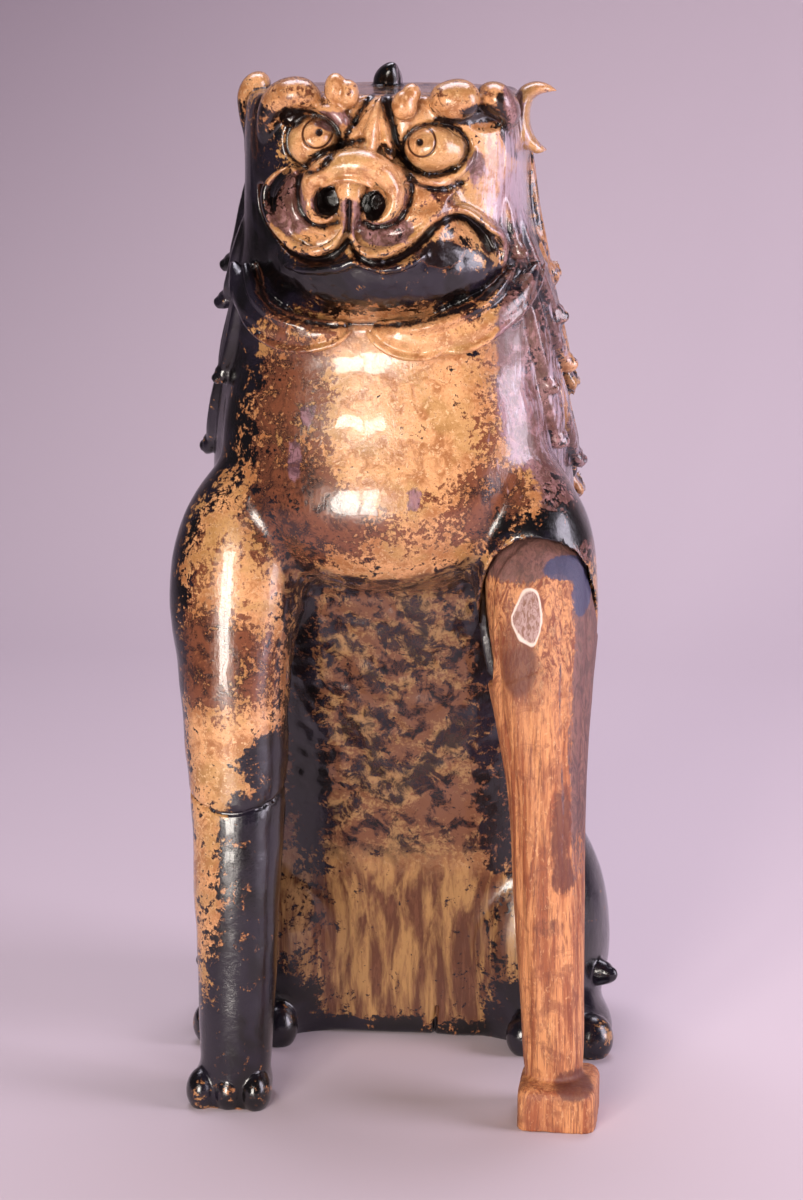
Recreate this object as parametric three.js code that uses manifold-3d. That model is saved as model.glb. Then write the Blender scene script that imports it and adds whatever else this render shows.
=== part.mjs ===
// A seated guardian lion-dog (komainu) in glazed stoneware. Its left foreleg is
// lost, and a carved wooden one is let into the broken shoulder.
// Units are millimetres. +Z is up, the figure faces -Y, and +X is the viewer's
// right as it faces the viewer.

import * as THREE from 'three';
import { mergeVertices } from 'three/addons/utils/BufferGeometryUtils.js';
import Module from 'manifold-3d';

const wasm = await Module();
wasm.setup();

// Driving sizes.
const crownHeight = 500;
const floorHeight = 0;
const fitGap = 0.3;
const breakLow = { x: 52, z: 214 };
const breakHigh = { x: 104, z: 238 };
const archApex = 289;
const archFoot = 205;
const archCentreX = 77;
const archHalfWidth = 23;
const tongueInset = 5;
const tongueRecess = 3;
const crackHeight = 160;
const crackSag = 9;
const crackWidth = 2.4;

// Paws on the floor: middle x, front y, half width, length, height and toes.
const rightForepaw = { x: -76, frontY: -110, halfWidth: 22, length: 44, height: 26, toes: 4 };
const rightHindPaw = { x: -82, frontY: -16, halfWidth: 27, length: 70, height: 28, toes: 3 };
const leftHindPaw = { ...rightHindPaw, x: 82 };

// The block paw carved at the foot of the wooden leg.
const blockPaw = { x: 89.5, y: -96.5, halfWidth: 19.5, halfLength: 23.5, height: 22 };

// Sections of the upright body, from the floor to the crown: height, left edge,
// right edge, front edge, back edge and squareness of the section.
const bodySections = [
  [0, -79, 76, 13, 104, 3.4],
  [55, -83, 80, 7, 110, 3],
  [115, -86, 82, -7, 105, 2.7],
  [180, -88, 84, -26, 93, 2.6],
  [240, -92, 87, -45, 82, 2.4],
  [292, -98, 90, -66, 72, 2.3],
  [340, -94, 84, -84, 62, 2.4],
  [392, -83, 76, -84, 52, 2.7],
  [440, -77, 67, -86, 44, 3.2],
  [482, -74, 64, -90, 38, 3.4],
  [crownHeight, -70, 60, -86, 28, 3.2],
];

// Each foreleg runs from inside the shoulder to the ankle: x, y, z, half width
// and half depth.
const rightForeleg = [
  [-64, -40, 322, 16, 24],
  [-72, -50, 286, 31, 34],
  [-76, -58, 250, 33.5, 34],
  [-76, -66, 215, 29.5, 31],
  [-72, -73, 165, 24.5, 26],
  [-70, -80, 120, 21.5, 23],
  [-71, -88, 60, 18.5, 19.5],
  [-72, -92, 8, 17, 18],
];
const leftForeleg = [
  [62, -40, 322, 16, 24],
  [72, -51, 286, 32, 34],
  [76, -60, 250, 30, 33],
  [77.5, -69, 215, 26.5, 30],
  [81, -78, 163, 19.6, 24],
  [83.4, -86, 102, 17.4, 20],
  [86.2, -92, 41, 15.2, 16.5],
  [87, -94, 8, 14, 15.5],
];

function clamp(value, low, high) {
  return Math.min(high, Math.max(low, value));
}

// One value of a table of rows, eased between rows by the first column.
function lookUp(rows, key, column) {
  const last = rows.length - 1;
  const at = clamp(key, rows[0][0], rows[last][0]);
  let i = 0;
  while (i < last - 1 && rows[i + 1][0] < at) {
    i += 1;
  }
  const before = rows[Math.max(i - 1, 0)];
  const from = rows[i];
  const to = rows[i + 1];
  const after = rows[Math.min(i + 2, last)];
  const span = to[0] - from[0];
  const t = (at - from[0]) / span;
  const slopeIn = (to[column] - before[column]) / (to[0] - before[0]);
  const slopeOut = (after[column] - from[column]) / (after[0] - from[0]);
  const t2 = t * t;
  const t3 = t2 * t;
  return (2 * t3 - 3 * t2 + 1) * from[column] + (t3 - 2 * t2 + t) * span * slopeIn
    + (3 * t2 - 2 * t3) * to[column] + (t3 - t2) * span * slopeOut;
}

function bodySection(height) {
  const left = lookUp(bodySections, height, 1);
  const right = lookUp(bodySections, height, 2);
  const front = lookUp(bodySections, height, 3);
  const back = lookUp(bodySections, height, 4);
  return {
    x: (left + right) / 2,
    y: (front + back) / 2,
    halfWidth: (right - left) / 2,
    halfDepth: (back - front) / 2,
    square: lookUp(bodySections, height, 5),
  };
}

function signedPower(value, power) {
  return Math.sign(value) * Math.abs(value) ** power;
}

// A point on the body's wall. The turn is measured in degrees from the front
// towards +X, and lift stands off the wall.
function onBody(turn, height, lift = 0) {
  const s = bodySection(height);
  const a = THREE.MathUtils.degToRad(turn);
  const dx = signedPower(Math.sin(a), 2 / s.square);
  const dy = -signedPower(Math.cos(a), 2 / s.square);
  const out = new THREE.Vector3(dx, dy, 0).normalize();
  return new THREE.Vector3(s.x + s.halfWidth * dx, s.y + s.halfDepth * dy, height)
    .addScaledVector(out, lift);
}

// A point on the front of the body's wall at a given x, standing off by lift.
function onFront(x, height, lift = 0) {
  const s = bodySection(height);
  const across = clamp(Math.abs(x - s.x) / s.halfWidth, 0, 0.98);
  const depth = (1 - across ** s.square) ** (1 / s.square);
  return [x, s.y - s.halfDepth * depth - lift, height];
}

function towards(turn) {
  const a = THREE.MathUtils.degToRad(turn);
  return new THREE.Vector3(Math.sin(a), -Math.cos(a), 0);
}

// Turns a closed three.js geometry into a solid that can be joined and cut.
function solid(geometry) {
  const bare = new THREE.BufferGeometry();
  bare.setAttribute('position', geometry.getAttribute('position').clone());
  bare.setIndex(geometry.getIndex());
  const merged = mergeVertices(bare, 1e-4);
  const index = merged.getIndex().array;
  const corners = [];
  for (let i = 0; i < index.length; i += 3) {
    const [a, b, c] = [index[i], index[i + 1], index[i + 2]];
    if (a !== b && b !== c && c !== a) {
      corners.push(a, b, c);
    }
  }
  const mesh = new wasm.Mesh({
    numProp: 3,
    vertProperties: new Float32Array(merged.getAttribute('position').array),
    triVerts: new Uint32Array(corners),
  });
  return new wasm.Manifold(mesh);
}

function joined(solids) {
  return solids.reduce((all, next) => all.add(next));
}

// The upright body: a capped cylinder whose rings take the body's sections.
function uprightBody(sides, rows) {
  const geometry = new THREE.CylinderGeometry(1, 1, crownHeight, sides, rows);
  geometry.rotateX(Math.PI / 2);
  const place = geometry.getAttribute('position');
  for (let i = 0; i < place.count; i += 1) {
    const height = clamp(place.getZ(i) + crownHeight / 2, 0, crownHeight);
    const s = bodySection(height);
    const reach = Math.hypot(place.getX(i), place.getY(i));
    const dx = reach && place.getX(i) / reach;
    const dy = reach && place.getY(i) / reach;
    const round = 2 / s.square;
    const x = s.x + s.halfWidth * reach * signedPower(dx, round);
    const y = s.y + s.halfDepth * reach * signedPower(dy, round);
    place.setXYZ(i, x, y, height);
  }
  return solid(geometry);
}

function ball(x, y, z, halfX, halfY, halfZ, sides = 10, rows = 7) {
  const geometry = new THREE.SphereGeometry(1, sides, rows);
  geometry.rotateX(Math.PI / 2);
  geometry.scale(halfX, halfY, halfZ);
  geometry.translate(x, y, z);
  return solid(geometry);
}

// A round-ended limb along a smooth curve. Each stop is x, y, z, half width and
// half thickness, and the width lies square to the outward direction.
function limb(stops, outward, { sides = 7, rows = 6, blunt = 3 } = {}) {
  const places = stops.map(([x, y, z]) => new THREE.Vector3(x, y, z));
  const route = new THREE.CatmullRomCurve3(places);
  const table = stops.map((stop, i) => [i / (stops.length - 1), stop[3], stop[4]]);
  const geometry = new THREE.SphereGeometry(1, sides, rows);
  const place = geometry.getAttribute('position');
  for (let i = 0; i < place.count; i += 1) {
    const t = clamp((1 - place.getY(i)) / 2, 0, 1);
    const swell = Math.abs(1 - Math.abs(2 * t - 1) ** blunt) ** (1 / blunt);
    const ring = Math.hypot(place.getX(i), place.getZ(i));
    const across = ring > 1e-6 ? place.getX(i) / ring : 0;
    const away = ring > 1e-6 ? place.getZ(i) / ring : 0;
    const tangent = route.getTangent(t);
    const side = new THREE.Vector3().crossVectors(outward, tangent).normalize();
    const out = new THREE.Vector3().crossVectors(tangent, side).normalize();
    const point = route.getPoint(t)
      .addScaledVector(side, across * swell * lookUp(table, t, 1))
      .addScaledVector(out, away * swell * lookUp(table, t, 2));
    place.setXYZ(i, point.x, point.y, point.z);
  }
  return solid(geometry);
}

function block(x0, x1, y0, y1, z0, z1) {
  const geometry = new THREE.BoxGeometry(x1 - x0, y1 - y0, z1 - z0);
  geometry.translate((x0 + x1) / 2, (y0 + y1) / 2, (z0 + z1) / 2);
  return solid(geometry);
}

const forward = towards(0);

// A foreleg, drawn in by an inset on all sides and set back by a recess.
function foreleg(stops, inset = 0, recess = 0) {
  const drawnIn = stops.map(([x, y, z, halfWidth, halfDepth]) => (
    [x, y - inset + recess, z, halfWidth - inset, halfDepth - inset]));
  return limb(drawnIn, forward, { sides: 12, rows: 12, blunt: 14 });
}

// Body, chest and haunches.
function torso() {
  const chest = ball(-4, -44, 340, 80, 51, 58, 18, 10);
  const rightHaunch = ball(-63, 50, 48, 41, 54, 70, 14, 9);
  const leftHaunch = ball(62, 50, 48, 42, 54, 70, 14, 9);
  return joined([uprightBody(26, 16), chest, rightHaunch, leftHaunch]);
}

// A paw with a row of toes along its front edge.
function paw({ x, frontY, halfWidth, length, height, toes }) {
  const backY = frontY + length;
  const stops = [
    [x, backY, height * 0.3, halfWidth * 0.8, height * 0.6],
    [x, (frontY + backY) / 2, height * 0.35, halfWidth, height * 0.65],
    [x, frontY + 3, height * 0.3, halfWidth * 0.96, height * 0.52],
  ];
  const parts = [limb(stops, new THREE.Vector3(0, 0, 1), { sides: 10, rows: 6, blunt: 4 })];
  const pitch = (2 * halfWidth) / toes;
  for (let i = 0; i < toes; i += 1) {
    const toeX = x - halfWidth + pitch * (i + 0.5);
    parts.push(ball(toeX, frontY + 11, height * 0.3, pitch * 0.6, 11, height * 0.42, 6, 4));
  }
  return joined(parts);
}

// The groove of an old break around the right foreleg, lowest in front.
function breakGroove() {
  const thin = 0.075;
  const geometry = new THREE.TorusGeometry(1, thin, 4, 20);
  geometry.scale(24.5, 26.5, crackWidth / (2 * thin));
  geometry.rotateX(Math.atan2(crackSag, 26));
  geometry.translate(-71.8, -74, crackHeight);
  return solid(geometry);
}

// Eyes, brows, crest, nose, lips and jaw, set on the front of the head.
function face() {
  const parts = [
    ball(-11.5, -84, 452, 30, 18, 20, 8, 6),
    ball(-31.6, -90, 478, 12.3, 12.5, 11.8, 10, 8),
    ball(26, -90, 475.5, 14.5, 12.5, 10.8, 10, 8),
    ball(-17, -92, 502, 7.4, 8, 8, 8, 7),
    ball(13, -92, 497, 6.2, 8, 8, 8, 7),
    ball(-11.5, -101, 464, 22, 16, 12.5, 14, 8),
    ball(-11.5, -100, 452, 20, 15, 11, 12, 7),
    ball(-32, -89, 447, 20, 17, 19, 12, 8),
    ball(11, -89, 447, 26, 17, 19, 12, 8),
    ball(0, -66, 421, 57.5, 42, 27.5, 18, 10),
  ];
  const browLeft = [
    [-53, -72, 476, 6, 8], [-53, -78, 492, 8, 12], [-40, -84, 499, 9, 12], [-27, -88, 498, 7, 9],
  ];
  const browRight = [
    [58, -66, 479, 6, 8], [56, -72, 491, 8, 12], [42, -80, 497, 10, 14], [25, -86, 496, 7, 10],
  ];
  const crest = [[1.5, -86, 505, 2.5, 6], [0, -93, 490, 5, 8], [-4, -98, 474, 10, 9]];
  const wingLeft = [
    [-16, -109, 469, 4, 5], [-31, -106, 464, 5, 6], [-34, -104, 453, 5, 7], [-24, -110, 444, 4, 5],
  ];
  const wingRight = [
    [-3, -109, 469, 4, 5], [9, -106, 463, 5, 6], [12, -104, 452, 5, 7], [1, -110, 443, 4, 5],
  ];
  const septum = [[-11.5, -111, 456, 5, 5], [-13, -106, 435, 4, 5]];
  const lowerLip = [
    [-46, -90, 420, 3, 4], [-12, -105, 420, 4, 4], [22, -103, 420, 4, 4], [46, -88, 422, 3, 4],
  ];
  for (const stops of [browLeft, browRight, crest, wingLeft, wingRight, septum, lowerLip]) {
    parts.push(limb(stops, forward));
  }
  return joined(parts);
}

// The raised beads that edge the two upper lips, and the ridge of the cheek.
function lipBeads() {
  const left = [
    [-15, -106, 438, 2.6, 3], [-30, -104, 429, 3, 3.5], [-45, -97, 438, 3, 3.5],
    [-51, -89, 453, 2.8, 4], [-42, -95, 467, 2.4, 4],
  ];
  const right = [
    [-11, -106, 438, 2.6, 3], [0, -105, 428, 3, 3.5], [16, -104, 434, 3, 3.5],
    [27, -100, 446, 3, 3.5], [37, -92, 458, 2.6, 4],
  ];
  const cheek = [[0, -104, 473, 2.4, 3], [17, -100, 463, 2.6, 4], [37, -91, 458, 2.6, 4]];
  const corner = [
    [24, -100, 441, 3, 4], [40, -92, 447, 3.4, 6], [52, -80, 440, 3.4, 7], [57, -72, 424, 3, 7],
  ];
  const beads = [left, right, cheek, corner];
  return joined(beads.map((stops) => limb(stops, forward, { sides: 5, rows: 7 })));
}

function nostrilsAndMouth() {
  const mouthSlit = [[43, -98, 443, 4, 9], [50, -94, 437, 5, 10], [54, -90, 428, 3, 9]];
  return joined([
    ball(-22.3, -119, 452, 5.4, 11, 6.2, 12, 8),
    ball(-1, -119, 450, 5.2, 11, 6, 12, 8),
    limb(mouthSlit, forward, { sides: 8, rows: 6 }),
  ]);
}

// The beard: two overlapping crescent flaps under each side of the jaw, lying
// on the front of the neck. Each stop is x, z and half width.
function beard() {
  const flaps = [
    [[-70, 424, 4], [-65, 404, 6], [-56, 391, 6], [-44, 386, 4]],
    [[-58, 410, 4], [-49, 394, 7], [-31, 387, 8], [-12, 394, 3]],
    [[-7, 392, 3], [12, 385, 8], [32, 388, 8], [48, 396, 4]],
    [[28, 384, 3], [47, 390, 6], [63, 403, 6], [74, 422, 4]],
  ];
  return joined(flaps.map((flap) => {
    const stops = flap.map(([x, z, halfWidth]) => [...onFront(x, z, 4), halfWidth, 8]);
    return limb(stops, forward, { sides: 6, rows: 6 });
  }));
}

// Each ear is an open scroll with a pointed upper tip, beside the crown.
function ears() {
  const rightScroll = [
    [-74, -38, 497, 2, 6], [-66, -36, 502, 5, 9], [-59, -34, 494, 5, 10],
    [-60, -34, 480, 5, 10], [-70, -36, 475, 4, 8],
  ];
  const leftScroll = [
    [79, -38, 500, 2, 6], [68, -36, 502, 5, 9], [60, -34, 494, 5, 10],
    [61, -34, 480, 5, 10], [73, -36, 472, 4, 8],
  ];
  return joined([
    limb(rightScroll, forward, { sides: 6, rows: 9 }),
    limb(leftScroll, forward, { sides: 6, rows: 9 }),
  ]);
}

function crownLock() {
  const stops = [[-7, 2, 494, 9, 8], [-7, -4, 503, 7, 6], [-3, -9, 511, 3, 3]];
  return limb(stops, forward, { sides: 8, rows: 6, blunt: 2.4 });
}

// A lock of the mane: a low ridge that runs down the body's wall and ends in a
// nub turned outwards.
function maneLock(fromTurn, fromHeight, toTurn, toHeight, halfWidth, nub) {
  const at = (t, lift) => {
    const turn = fromTurn + (toTurn - fromTurn) * t;
    const height = fromHeight + (toHeight - fromHeight) * t;
    return onBody(turn, height, lift).toArray();
  };
  const stops = [
    [...at(0, -2), halfWidth * 0.5, 3],
    [...at(0.5, 0), halfWidth, 4.5],
    [...at(0.85, 1), halfWidth * 0.9, 5],
    [...at(1, nub), halfWidth * 0.45, 4],
  ];
  return limb(stops, towards((fromTurn + toTurn) / 2), { sides: 6, rows: 4, blunt: 2.6 });
}

// Locks seen from the front follow the statue one by one, and plain tiers of
// them cover the sides and back.
function mane() {
  const locks = [
    maneLock(58, 452, 62, 424, 6, 5),
    maneLock(72, 446, 84, 391, 10, 7),
    maneLock(62, 418, 66, 357, 9, 7),
    maneLock(78, 404, 88, 364, 9, 8),
    maneLock(66, 386, 70, 328, 10, 6),
    maneLock(80, 366, 88, 314, 10, 7),
    maneLock(-84, 462, -88, 413, 10, 12),
    maneLock(-70, 440, -80, 394, 10, 10),
    maneLock(-62, 410, -66, 358, 10, 6),
    maneLock(-78, 372, -88, 317, 11, 8),
  ];
  const tiers = [
    { top: 482, tip: 404, first: 112, count: 4, halfWidth: 20 },
    { top: 432, tip: 350, first: 104, count: 5, halfWidth: 20 },
    { top: 384, tip: 292, first: 114, count: 4, halfWidth: 22 },
  ];
  for (const { top, tip, first, count, halfWidth } of tiers) {
    const step = (360 - 2 * first) / (count - 1);
    for (let i = 0; i < count; i += 1) {
      const turn = first + step * i;
      locks.push(maneLock(turn, top, turn, tip, halfWidth, 9));
    }
  }
  return joined(locks);
}

// The tail stands up against the back, a flame of three tongues.
function tail() {
  const up = towards(180);
  const middle = [
    [0, 98, 30, 9, 9], [0, 110.5, 85, 21, 14], [0, 100, 150, 18, 12], [0, 86, 222, 3, 7],
  ];
  const left = [
    [-8, 100, 56, 8, 9], [-29, 97, 100, 12, 11], [-31, 90, 145, 10, 10], [-43, 80, 182, 3, 6],
  ];
  const right = left.map(([x, y, z, halfWidth, halfDepth]) => [-x, y, z, halfWidth, halfDepth]);
  return joined([middle, left, right].map((stops) => limb(stops, up, { sides: 6, rows: 6 })));
}

// The wooden leg is flush with the shoulder below a slanting break, and a tongue
// of it runs up inside the broken shoulder.
function belowBreak(drop) {
  const slope = (breakHigh.z - breakLow.z) / (breakHigh.x - breakLow.x);
  const atLeft = breakLow.z - slope * breakLow.x - drop;
  const outline = new THREE.Shape();
  outline.moveTo(0, -50);
  outline.lineTo(160, -50);
  outline.lineTo(160, atLeft + slope * 160);
  outline.lineTo(0, atLeft);
  outline.closePath();
  const geometry = new THREE.ExtrudeGeometry(outline, { depth: 200, bevelEnabled: false });
  geometry.rotateX(Math.PI / 2);
  geometry.translate(0, 20, 0);
  return solid(geometry);
}

// The broken front of the shoulder: an arch open to the front.
function archCut() {
  const outline = new THREE.Shape();
  outline.moveTo(archCentreX + archHalfWidth, archFoot);
  outline.lineTo(archCentreX + archHalfWidth, archApex - archHalfWidth);
  outline.absarc(archCentreX, archApex - archHalfWidth, archHalfWidth, 0, Math.PI, false);
  outline.lineTo(archCentreX - archHalfWidth, archFoot);
  outline.closePath();
  const settings = { depth: 100, bevelEnabled: false, curveSegments: 8 };
  const geometry = new THREE.ExtrudeGeometry(outline, settings);
  geometry.rotateX(Math.PI / 2);
  geometry.translate(0, -62, 0);
  return solid(geometry);
}

function woodenPaw() {
  const geometry = new THREE.CylinderGeometry(1, 1, 1, 8, 1);
  geometry.rotateY(Math.PI / 8);
  geometry.rotateX(Math.PI / 2);
  const halfFlat = Math.cos(Math.PI / 8);
  geometry.scale(blockPaw.halfWidth / halfFlat, blockPaw.halfLength / halfFlat, blockPaw.height);
  geometry.translate(blockPaw.x, blockPaw.y, blockPaw.height / 2);
  return solid(geometry);
}

function haunchTuft(hand) {
  const stops = [[hand * 88, 34, 34, 9, 9], [hand * 101, 24, 32, 6, 7], [hand * 112, 18, 32, 3, 3]];
  return limb(stops, new THREE.Vector3(0, 0, 1), { sides: 7, rows: 6 });
}

const underground = block(-300, 300, -300, 300, -200, floorHeight);

function glazedFigure() {
  const socket = foreleg(leftForeleg, tongueInset - fitGap, tongueRecess - fitGap);
  const shoulder = foreleg(leftForeleg).subtract(belowBreak(0));
  const standing = joined([
    torso(),
    foreleg(rightForeleg).subtract(breakGroove()),
    shoulder,
    paw(rightForepaw),
    paw(rightHindPaw),
    paw(leftHindPaw),
    haunchTuft(-1),
    haunchTuft(1),
    face(),
    lipBeads(),
    beard(),
    ears(),
    crownLock(),
    mane(),
    tail(),
  ]);
  const cuts = [socket, archCut(), nostrilsAndMouth(), underground];
  return cuts.reduce((left, cut) => left.subtract(cut), standing);
}

function woodenForeleg() {
  const flush = foreleg(leftForeleg).intersect(belowBreak(fitGap));
  const tongue = foreleg(leftForeleg, tongueInset, tongueRecess);
  return joined([flush, tongue, woodenPaw()]).subtract(underground);
}

function named(name, shape, material) {
  const { vertProperties, triVerts } = shape.getMesh();
  const geometry = new THREE.BufferGeometry();
  geometry.setAttribute('position', new THREE.BufferAttribute(vertProperties, 3));
  geometry.setIndex(new THREE.BufferAttribute(triVerts, 1));
  geometry.computeVertexNormals();
  const mesh = new THREE.Mesh(geometry, material);
  mesh.name = name;
  return mesh;
}

const ironGlaze = new THREE.MeshStandardMaterial({ color: 0x8a6a3c, roughness: 0.18, metalness: 0 });
const agedWood = new THREE.MeshStandardMaterial({ color: 0xb5743c, roughness: 0.6, metalness: 0 });

const komainu = new THREE.Group();
komainu.name = 'komainu';
komainu.add(
  named('glazed_figure', glazedFigure(), ironGlaze),
  named('wooden_foreleg', woodenForeleg(), agedWood),
);

export default komainu;
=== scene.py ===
# %% [markdown]
# # A komainu of glazed stoneware with a wooden leg
# The real figure is a lion-dog guardian, thrown and modelled in clay, dipped in iron glaze and fired.
# Its left foreleg was lost long ago, and somebody carved a new one in wood.
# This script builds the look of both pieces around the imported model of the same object.
# All shapes are worked out in millimetres and scaled to metres when they are finished.

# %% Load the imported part
import math

import bmesh
import bpy
import numpy as np
from mathutils import Matrix, Vector


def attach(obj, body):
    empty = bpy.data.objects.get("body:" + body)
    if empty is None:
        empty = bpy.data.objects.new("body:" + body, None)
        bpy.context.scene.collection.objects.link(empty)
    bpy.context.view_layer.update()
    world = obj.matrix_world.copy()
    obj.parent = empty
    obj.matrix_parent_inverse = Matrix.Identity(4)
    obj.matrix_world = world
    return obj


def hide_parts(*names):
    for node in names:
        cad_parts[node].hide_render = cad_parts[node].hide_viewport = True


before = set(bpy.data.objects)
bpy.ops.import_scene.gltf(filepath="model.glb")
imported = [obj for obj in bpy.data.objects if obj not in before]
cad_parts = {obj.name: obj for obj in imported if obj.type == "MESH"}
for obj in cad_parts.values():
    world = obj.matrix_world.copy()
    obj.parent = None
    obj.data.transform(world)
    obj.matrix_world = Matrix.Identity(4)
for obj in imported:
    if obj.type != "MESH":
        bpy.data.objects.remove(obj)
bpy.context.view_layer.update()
print("packed nodes:", sorted(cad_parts))

# %% [markdown]
# ## How the clay is modelled
# Sculptors rough out big soft masses first, then add rolls of clay, then cut fine lines.
# The script works in the same order: spheres and circles from bmesh are bent into masses,
# a voxel remesh joins them into one skin as slip joins clay, and small moves of the skin's
# vertices cut the lines. A remesh was chosen over booleans because it rounds each join a little,
# as a wet thumb does.

# %% Working sizes
MM = 0.001
ROUGH_VOXEL = 2.4
FINE_VOXEL = 0.9
WOOD_VOXEL = 0.9
FIGURE_TRIANGLES = 196_000
WOOD_TRIANGLES = 60_000
CROWN_HEIGHT = 500.0
FORWARD = Vector((0, -1, 0))
UPWARD = Vector((0, 0, 1))

# Height, left edge, right edge, front edge, back edge and squareness of the upright body.
BODY_SECTIONS = np.array([
    (0, -79, 76, 13, 104, 3.4),
    (55, -83, 80, 7, 110, 3),
    (115, -86, 82, -7, 105, 2.7),
    (180, -88, 84, -26, 93, 2.6),
    (240, -92, 87, -45, 82, 2.4),
    (292, -96, 88, -60, 72, 2.3),
    (340, -91, 83, -74, 62, 2.4),
    (392, -82, 76, -80, 52, 2.7),
    (440, -73, 66, -86, 44, 3.2),
    (482, -71.5, 64, -90, 38, 3.4),
    (CROWN_HEIGHT, -70, 60, -86, 28, 3.2),
], float)

# Each foreleg from inside the shoulder to the ankle: x, y, z, half width and half depth.
RIGHT_FORELEG = [
    (-64, -40, 322, 16, 24), (-72, -50, 286, 31, 34), (-75.5, -58, 250, 33.5, 34),
    (-75.5, -66, 215, 28, 31), (-73.5, -73, 165, 24.8, 26), (-72.5, -80, 120, 22.5, 23),
    (-72.5, -88, 60, 19.8, 20), (-73, -92, 8, 18, 18),
]
LEFT_FORELEG = [
    (62, -40, 322, 16, 24), (70.5, -51, 286, 29.5, 34), (74.5, -60, 250, 30, 33),
    (76.8, -69, 215, 25.8, 30), (81, -78, 163, 19.4, 24), (83.4, -86, 102, 17.2, 20),
    (86.2, -92, 41, 15.2, 16.5), (87, -94, 8, 14, 15.5),
]
# The chest stands out most near its lower edge, like a pigeon's.
CHEST = [
    (-4, -46, 412, 56, 26), (-4, -45, 373, 72, 35), (-4, -44, 334, 80, 44),
    (-4, -43, 295, 80, 55), (-4, -40, 256, 70, 46),
]


# %% Smooth tables and curves
def eased(rows, keys):
    """Rows of a table at any keys, eased between the rows by the first column."""
    rows = np.asarray(rows, float)
    keys = np.clip(np.asarray(keys, float), rows[0, 0], rows[-1, 0])
    last = len(rows) - 1
    i = np.clip(np.searchsorted(rows[:, 0], keys, side="left") - 1, 0, last - 1)
    before, start, end, after = rows[np.maximum(i - 1, 0)], rows[i], rows[i + 1], rows[np.minimum(i + 2, last)]
    span = (end[:, 0] - start[:, 0])[:, None]
    t = ((keys - start[:, 0]) / span[:, 0])[:, None]
    slope_in = (end - before) / (end[:, :1] - before[:, :1])
    slope_out = (after - start) / (after[:, :1] - start[:, :1])
    t2, t3 = t * t, t ** 3
    return ((2 * t3 - 3 * t2 + 1) * start + (t3 - 2 * t2 + t) * span * slope_in
            + (3 * t2 - 2 * t3) * end + (t3 - t2) * span * slope_out)


def along(stops, t):
    """Points on a smooth curve through the stops, with t running from 0 to 1."""
    stops = np.asarray(stops, float)
    padded = np.vstack([2 * stops[0] - stops[1], stops, 2 * stops[-1] - stops[-2]])
    at = np.clip(np.asarray(t, float), 0, 1) * (len(stops) - 1)
    i = np.minimum(at.astype(int), len(stops) - 2)
    u = (at - i)[:, None]
    p0, p1, p2, p3 = (padded[i + k] for k in range(4))
    d0, d1, d2 = (np.linalg.norm(b[:, :3] - a[:, :3], axis=1)[:, None] ** 0.5 + 1e-9
                  for a, b in ((p0, p1), (p1, p2), (p2, p3)))
    m1 = ((p1 - p0) / d0 - (p2 - p0) / (d0 + d1) + (p2 - p1) / d1) * d1
    m2 = ((p2 - p1) / d1 - (p3 - p1) / (d1 + d2) + (p3 - p2) / d2) * d1
    return (p1 + m1 * u + (-3 * p1 + 3 * p2 - 2 * m1 - m2) * u ** 2
            + (2 * p1 - 2 * p2 + m1 + m2) * u ** 3)


def body_section(height):
    """Middle x and y, half width, half depth and squareness of the body at one height."""
    _, left, right, front, back, square = eased(BODY_SECTIONS, [height])[0]
    return (left + right) / 2, (front + back) / 2, (right - left) / 2, (back - front) / 2, square


def on_body(turn, height, lift=0.0):
    """A point on the body's wall, turned in degrees from the front towards +X."""
    x, y, half_width, half_depth, square = body_section(height)
    a = math.radians(turn)
    dx = math.copysign(abs(math.sin(a)) ** (2 / square), math.sin(a))
    dy = -math.copysign(abs(math.cos(a)) ** (2 / square), math.cos(a))
    out = Vector((dx, dy, 0)).normalized()
    return Vector((x + half_width * dx, y + half_depth * dy, height)) + out * lift


# %% Masses and rolls of clay
def drop_in(form, piece):
    """Adds a small bmesh to a pile of forms. Shaping each piece by itself keeps the pile quick."""
    mesh = bpy.data.meshes.new("piece")
    piece.to_mesh(mesh)
    piece.free()
    form.from_mesh(mesh)
    bpy.data.meshes.remove(mesh)


def ball(form, centre, half_sizes, sides=32, rows=20):
    """An egg-shaped mass of clay."""
    piece = bmesh.new()
    place = Matrix.Translation(centre) @ Matrix.Diagonal((*half_sizes, 1))
    bmesh.ops.create_uvsphere(piece, u_segments=sides, v_segments=rows, radius=1, matrix=place)
    drop_in(form, piece)


def roll(form, stops, outward=FORWARD, sides=20, rows=28, blunt=3.0):
    """A round-ended roll of clay along a curve: each stop is x, y, z, half width, half thickness."""
    piece = bmesh.new()
    bmesh.ops.create_uvsphere(piece, u_segments=sides, v_segments=rows, radius=1)
    unit = np.array([vert.co for vert in piece.verts])
    t = np.clip((1 - unit[:, 2]) / 2, 0, 1)
    swell = np.abs(1 - np.abs(2 * t - 1) ** blunt) ** (1 / blunt)
    ring = np.hypot(unit[:, 0], unit[:, 1])
    solid_ring = np.maximum(ring, 1e-6)
    across = np.where(ring > 1e-6, unit[:, 0] / solid_ring, 0) * swell
    away = np.where(ring > 1e-6, unit[:, 1] / solid_ring, 0) * swell
    stops = np.asarray(stops, float)
    route = stops[:, :3]
    steps = np.linspace(0, 1, len(stops))
    size = eased(np.column_stack([steps, stops[:, 3:5]]), t)[:, 1:]
    tangent = along(route, t + 0.002) - along(route, t - 0.002)
    side = np.cross(np.asarray(outward, float), tangent)
    side /= np.linalg.norm(side, axis=1)[:, None]
    out = np.cross(tangent, side)
    out /= np.linalg.norm(out, axis=1)[:, None]
    places = along(route, t) + side * (across * size[:, 0])[:, None] + out * (away * size[:, 1])[:, None]
    for vert, place in zip(piece.verts, places):
        vert.co = place
    drop_in(form, piece)


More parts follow.
